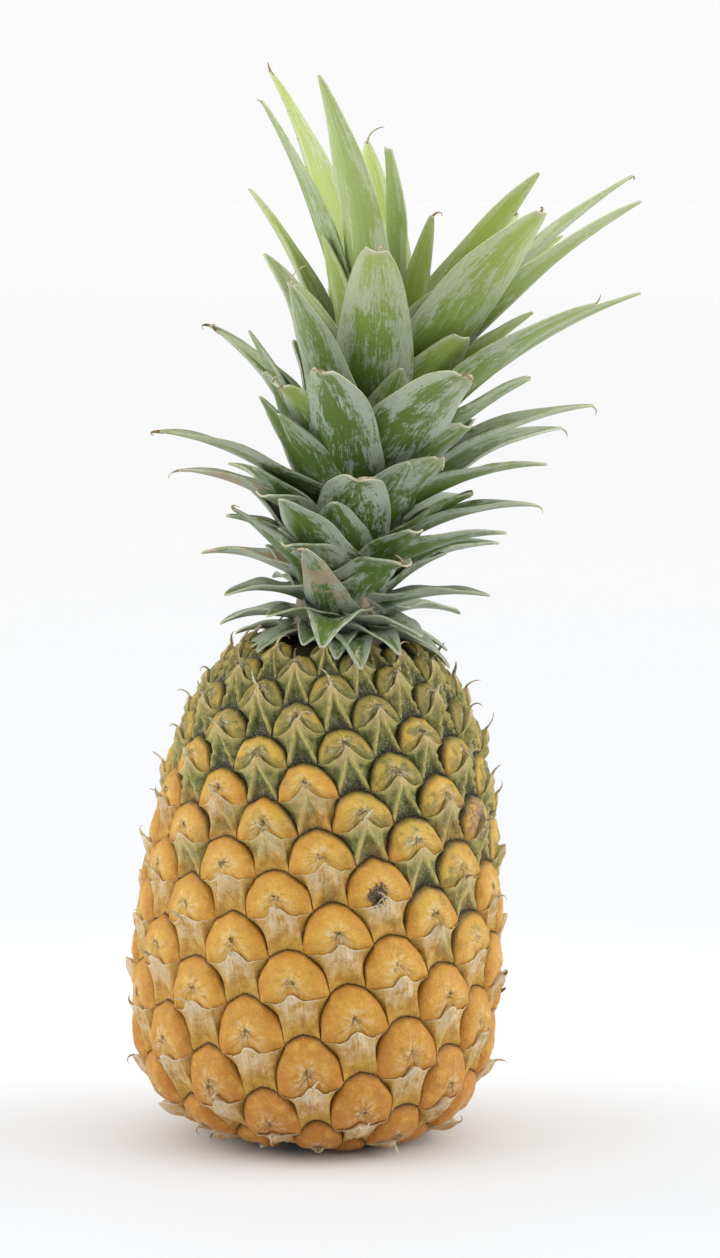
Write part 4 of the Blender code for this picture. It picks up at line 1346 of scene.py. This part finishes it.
# %% Group: bloom and scratches of a leaf
foot_bloom = nodes.ramp(up, 0.30, 0.0, 0.0, 0.10)
side_bloom = nodes.ramp(across, 0.20, 0.46, 0.0, 0.10)
cover = nodes.plus(nodes.times(smear, 0.55), nodes.times(patch, 0.45))
cover = nodes.plus(cover, nodes.plus(foot_bloom, side_bloom))
cover = nodes.plus(cover, nodes.times(nodes.minus(speck, 0.5), 0.14))
cover = nodes.plus(cover, nodes.times(nodes.minus(scratch, 0.5), 0.45))
bloom = nodes.ramp(cover, 0.50, 0.58, 0.0, given["Bloom"])
bloom = nodes.times(bloom, nodes.ramp(young, 0.0, 1.0, 1.0, 0.62))
colour = nodes.mix(bloom, colour, nodes.mix(young, BLOOM_OLD, BLOOM_YOUNG))
stroke = nodes.ramp(nodes.math("ABSOLUTE", nodes.minus(scratch, 0.47)), 0.016, 0.004)
stroke = nodes.times(stroke, nodes.ramp(patch, 0.42, 0.56))
colour = nodes.mix(nodes.times(stroke, 0.55), colour, SCRATCH)
print("nodes so far:", nodes.count)

# %% Group: margins, painted shade at the feet, and dry parts of a leaf
colour = nodes.mix(nodes.ramp(across, 0.480, 0.498, 0.0, 0.30), colour, MARGIN)
# Painted shade again, at the very foot of each leaf where the others cover it.
colour = nodes.mix(nodes.ramp(up, 0.34, 0.0, 0.0, 0.60), colour, (0.34, 0.42, 0.34), "MULTIPLY")
dead = nodes.times(given["Dry"], nodes.ramp(up, 0.25, 0.45))
dead = nodes.times(dead, nodes.ramp(nodes.noise(place, 90.0, 4.0), 0.47, 0.53))
colour = nodes.mix(nodes.times(dead, 0.85), colour, DRY_PATCH)
dry_tip = nodes.ramp(nodes.plus(up, nodes.times(patch, 0.06)), 1.00, 1.035)
colour = nodes.mix(dry_tip, colour, DRY_TIP)
nodes.put(colour, result["Color"])
nodes.put(nodes.ramp(bloom, 0.0, 0.6, 0.36, 0.62), result["Roughness"])
nodes.put(nodes.plus(vein, nodes.times(bloom, 0.4)), result["Height"])
print("nodes in the group:", nodes.count)


# %% Leaf finishes
def leaf_finish(name, old_green, dull_green, young_green, bloom):
    made, nodes, shader = new_material(name)
    mark = nodes.add("ShaderNodeAttribute", attribute_name="marks")
    part = nodes.add("ShaderNodeSeparateColor", {"Color": mark.outputs["Color"]})
    surface = nodes.add("ShaderNodeGroup", node_tree=leaf_surface, values={
        "Place": nodes.add("ShaderNodeTexCoord").outputs["Object"],
        "Flat": nodes.add("ShaderNodeUVMap", uv_map="UVMap").outputs[0],
        "Age": part.outputs[0], "Luck": part.outputs[2], "Dry": mark.outputs["Alpha"],
        "Old Green": old_green, "Dull Green": dull_green, "Young Green": young_green,
        "Bloom": bloom,
    }).outputs
    nodes.put(surface["Color"], shader.inputs["Base Color"])
    nodes.put(surface["Roughness"], shader.inputs["Roughness"])
    nodes.bump(surface["Height"], 0.35, 0.0004, shader)
    shader.inputs["Specular IOR Level"].default_value = 0.45
    return made


BACK_GREENS = ((0.120, 0.185, 0.034), (0.34, 0.42, 0.150), (0.46, 0.55, 0.130))
FACE_GREENS = ((0.040, 0.074, 0.014), (0.17, 0.25, 0.060), (0.30, 0.40, 0.060))
BACK_BLOOM = 0.80
FACE_BLOOM = 0.35
leaf_back = leaf_finish("leaf back", *BACK_GREENS, BACK_BLOOM)
leaf_face = leaf_finish("leaf face", *FACE_GREENS, FACE_BLOOM)
wear_only(crown, leaf_back, leaf_face)
wear_only(stem, leaf_finish("crown stem", *FACE_GREENS, FACE_BLOOM))
print("finishes of the crown:", [finish.name for finish in crown.data.materials])

# %% [markdown]
# ## Dry parts
# The threads, the spines and the cut stalk are small and dry. Their colour varies with a
# fine grain and they are matt, so they share one group for the grain.

# %% Group: fine grain
fine_grain, nodes, given, result = new_group("fine grain", {
    "Place": "Vector", "Scale": "Float", "Detail": "Float", "Smooth": "Float", "Rough": "Float",
}, {"Grain": "Float", "Roughness": "Float"})
grain = nodes.noise(given["Place"], given["Scale"], given["Detail"])
nodes.put(grain, result["Grain"])
nodes.put(nodes.ramp(grain, 0.3, 0.7, given["Smooth"], given["Rough"]), result["Roughness"])


def grainy_material(name, scale, detail, smooth, rough, grain_stretch=(1.0, 1.0, 1.0)):
    """A material with fine grain: itself, its nodes, its shader and the grain."""
    made, nodes, shader = new_material(name)
    place = nodes.stretch(nodes.add("ShaderNodeTexCoord").outputs["Object"], grain_stretch)
    group = nodes.add("ShaderNodeGroup", node_tree=fine_grain, values={
        "Place": place, "Scale": scale, "Detail": detail, "Smooth": smooth, "Rough": rough,
    }).outputs
    nodes.put(group["Roughness"], shader.inputs["Roughness"])
    return made, nodes, shader, group["Grain"]


print("outputs of the grain:", len(result) - 1)

# %% Dry thread finish
THREAD_STRAW = (0.55, 0.48, 0.30)
THREAD_BROWN = (0.20, 0.125, 0.060)
thread_finish, nodes, shader, speck = grainy_material("dry thread", 900.0, 3.0, 0.6, 0.8)
dryness = nodes.add("ShaderNodeAttribute", attribute_name="marks").outputs["Fac"]
tone = nodes.ramp(nodes.plus(dryness, nodes.ramp(speck, 0.3, 0.7, -0.3, 0.3)), 0.1, 0.9)
nodes.put(nodes.mix(tone, THREAD_STRAW, THREAD_BROWN), shader.inputs["Base Color"])
nodes.bump(speck, 0.4, 0.0002, shader)
wear_only(thread_set, thread_finish)
print("finish of the threads:", thread_finish.name)

# %% Spine finish
SPINE_GREEN = (0.34, 0.40, 0.13)
SPINE_STRAW = (0.50, 0.45, 0.22)
spine_finish, nodes, shader, speck = grainy_material("leaf spine", 700.0, 3.0, 0.45, 0.65)
tone = nodes.ramp(speck, 0.35, 0.65)
nodes.put(nodes.mix(tone, SPINE_GREEN, SPINE_STRAW), shader.inputs["Base Color"])
wear_only(spine_set, spine_finish)
print("finish of the spines:", spine_finish.name)

# %% Cut stalk finish
CUT_BROWN = (0.20, 0.13, 0.06)
CUT_STRAW = (0.55, 0.42, 0.24)
ALONG_STALK = (1.0, 1.0, 0.15)
cut_finish, nodes, shader, grain = grainy_material(
    "cut stalk", 900.0, 4.0, 0.7, 0.9, ALONG_STALK)
nodes.put(nodes.mix(grain, CUT_BROWN, CUT_STRAW), shader.inputs["Base Color"])
nodes.bump(grain, 0.6, 0.0005, shader)
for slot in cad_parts["stalk"].material_slots:
    slot.material = cut_finish
print("finish of the stalk:", cut_finish.name)

# %% [markdown]
# ## Studio
# The fruit stands on a flat, pale floor in the light of a white room. Lamps alone could
# light it, but they would throw hard shadows, so most of the light comes from the world
# all round: brighter from above, and brightest from two broad windows at the sides. Two
# weak softboxes add to them. The floor's tone changes with distance, so that it meets the
# background almost without a line. Beside and behind the fruit the floor is painted paler,
# a painted pool of light that thins the wide shadows of the windows there, and the near
# floor is tinted a little blue against the warm light that the fruit throws onto it.

# %% Floor
# FLOOR_NEAR is tinted a little blue against the warm light that the fruit throws onto the floor near
# it.
FLOOR_NEAR = (0.705, 0.722, 0.745)
FLOOR_FAR = (0.738, 0.738, 0.740)
FLOOR_HORIZON = (0.768, 0.766, 0.764)
FLOOR_PAINTED_LIGHT = (0.835, 0.850, 0.870)
bpy.ops.object.select_all(action="DESELECT")
bpy.ops.mesh.primitive_plane_add(size=40.0, location=(0.0, 0.0, 0.0))
floor = bpy.context.active_object
floor.name = "floor"
floor_finish, nodes, shader = new_material("pale floor")
place = nodes.add("ShaderNodeTexCoord").outputs["Object"]
depth = nodes.add("ShaderNodeSeparateXYZ", {"Vector": place}).outputs[1]
far = nodes.ramp(nodes.plus(depth, nodes.noise(place, 3.0, 2.0)), 0.6, 3.0)
pale = nodes.mix(far, FLOOR_NEAR, FLOOR_FAR)
pale = nodes.mix(nodes.ramp(depth, 3.0, 14.0), pale, FLOOR_HORIZON)
# Painted light: beside and behind the fruit the floor is made paler, to thin the wide shadows cast by
# the windows.
beside = nodes.ramp(nodes.distance(place, (0.0, 0.0, 0.0)), 0.50, 0.16)
beside = nodes.times(beside, nodes.ramp(depth, -0.12, 0.04))
pale = nodes.mix(beside, pale, FLOOR_PAINTED_LIGHT)
nodes.put(pale, shader.inputs["Base Color"])
shader.inputs["Roughness"].default_value = 0.7
wear_only(floor, floor_finish)
print("floor:", tuple(floor.dimensions))


# %% Lamps
LAMP_AIM = Vector((0.0, 0.0, 0.15))
LAMP_SIZE = 1.0
LAMP_POWER = 3.0


def softbox(name, place):
    data = bpy.data.lights.new(name, "AREA")
    data.size = LAMP_SIZE
    data.energy = LAMP_POWER
    lamp = bpy.data.objects.new(name, data)
    bpy.context.collection.objects.link(lamp)
    lamp.location = place
    lamp.rotation_euler = (LAMP_AIM - Vector(place)).to_track_quat("-Z", "Y").to_euler()
    return lamp


lamps = [softbox("left softbox", (-1.5, -0.7, 1.2)), softbox("right softbox", (1.5, -0.7, 1.1))]
print("lamps:", [lamp.name for lamp in lamps])

# %% Light of the room
GLOW_LOW = 0.29
GLOW_HIGH = 1.00
WINDOWS = (((-0.95, -0.12, 0.29), 2.00), ((0.95, -0.12, 0.29), 2.16))
BACKDROP = 0.955
world = bpy.data.worlds.new("studio")
bpy.context.scene.world = world
world.use_nodes = True
air = Nodes(world.node_tree)
direction = air.add("ShaderNodeTexCoord").outputs["Generated"]
above = air.add("ShaderNodeSeparateXYZ", {"Vector": direction}).outputs[2]
glow = air.ramp(above, 0.0, 0.9, GLOW_LOW, GLOW_HIGH)
for window, power in WINDOWS:
    towards = air.add("ShaderNodeVectorMath", {0: direction, 1: window}, operation="DOT_PRODUCT")
    glow = air.plus(glow, air.ramp(towards.outputs["Value"], 0.66, 0.95, 0.0, power))
seen = air.add("ShaderNodeLightPath").outputs["Is Camera Ray"]
strength = air.add("ShaderNodeMix", {0: seen, 2: glow, 3: BACKDROP}, data_type="FLOAT")
background = world.node_tree.nodes["Background"]
air.put(strength.outputs[0], background.inputs["Strength"])
background.inputs["Color"].default_value = (1.0, 1.0, 1.0, 1.0)
bpy.context.scene.view_settings.view_transform = "Standard"
print("windows:", len(WINDOWS), "in a world of", air.count, "nodes")

# %% Camera
FOCAL = 128.8
VIEW_DISTANCE = 1.512
VIEW_DOWN = radians(9.53)
TURN_UP = radians(3.21)
TURN_RIGHT = radians(0.705)
VIEW_PIVOT = Vector((0.0, 0.0, 0.0861))
camera_data = bpy.data.cameras.new("camera")
camera_data.lens = FOCAL
camera_data.sensor_width = 36.0
camera_data.clip_end = 50.0
camera = bpy.data.objects.new("camera", camera_data)
bpy.context.collection.objects.link(camera)
camera.location = VIEW_PIVOT + VIEW_DISTANCE * Vector((0.0, -cos(VIEW_DOWN), sin(VIEW_DOWN)))
camera.rotation_euler = (pi / 2.0 - VIEW_DOWN + TURN_UP, 0.0, -TURN_RIGHT)
bpy.context.scene.camera = camera
print("camera at", [round(value, 3) for value in camera.location])
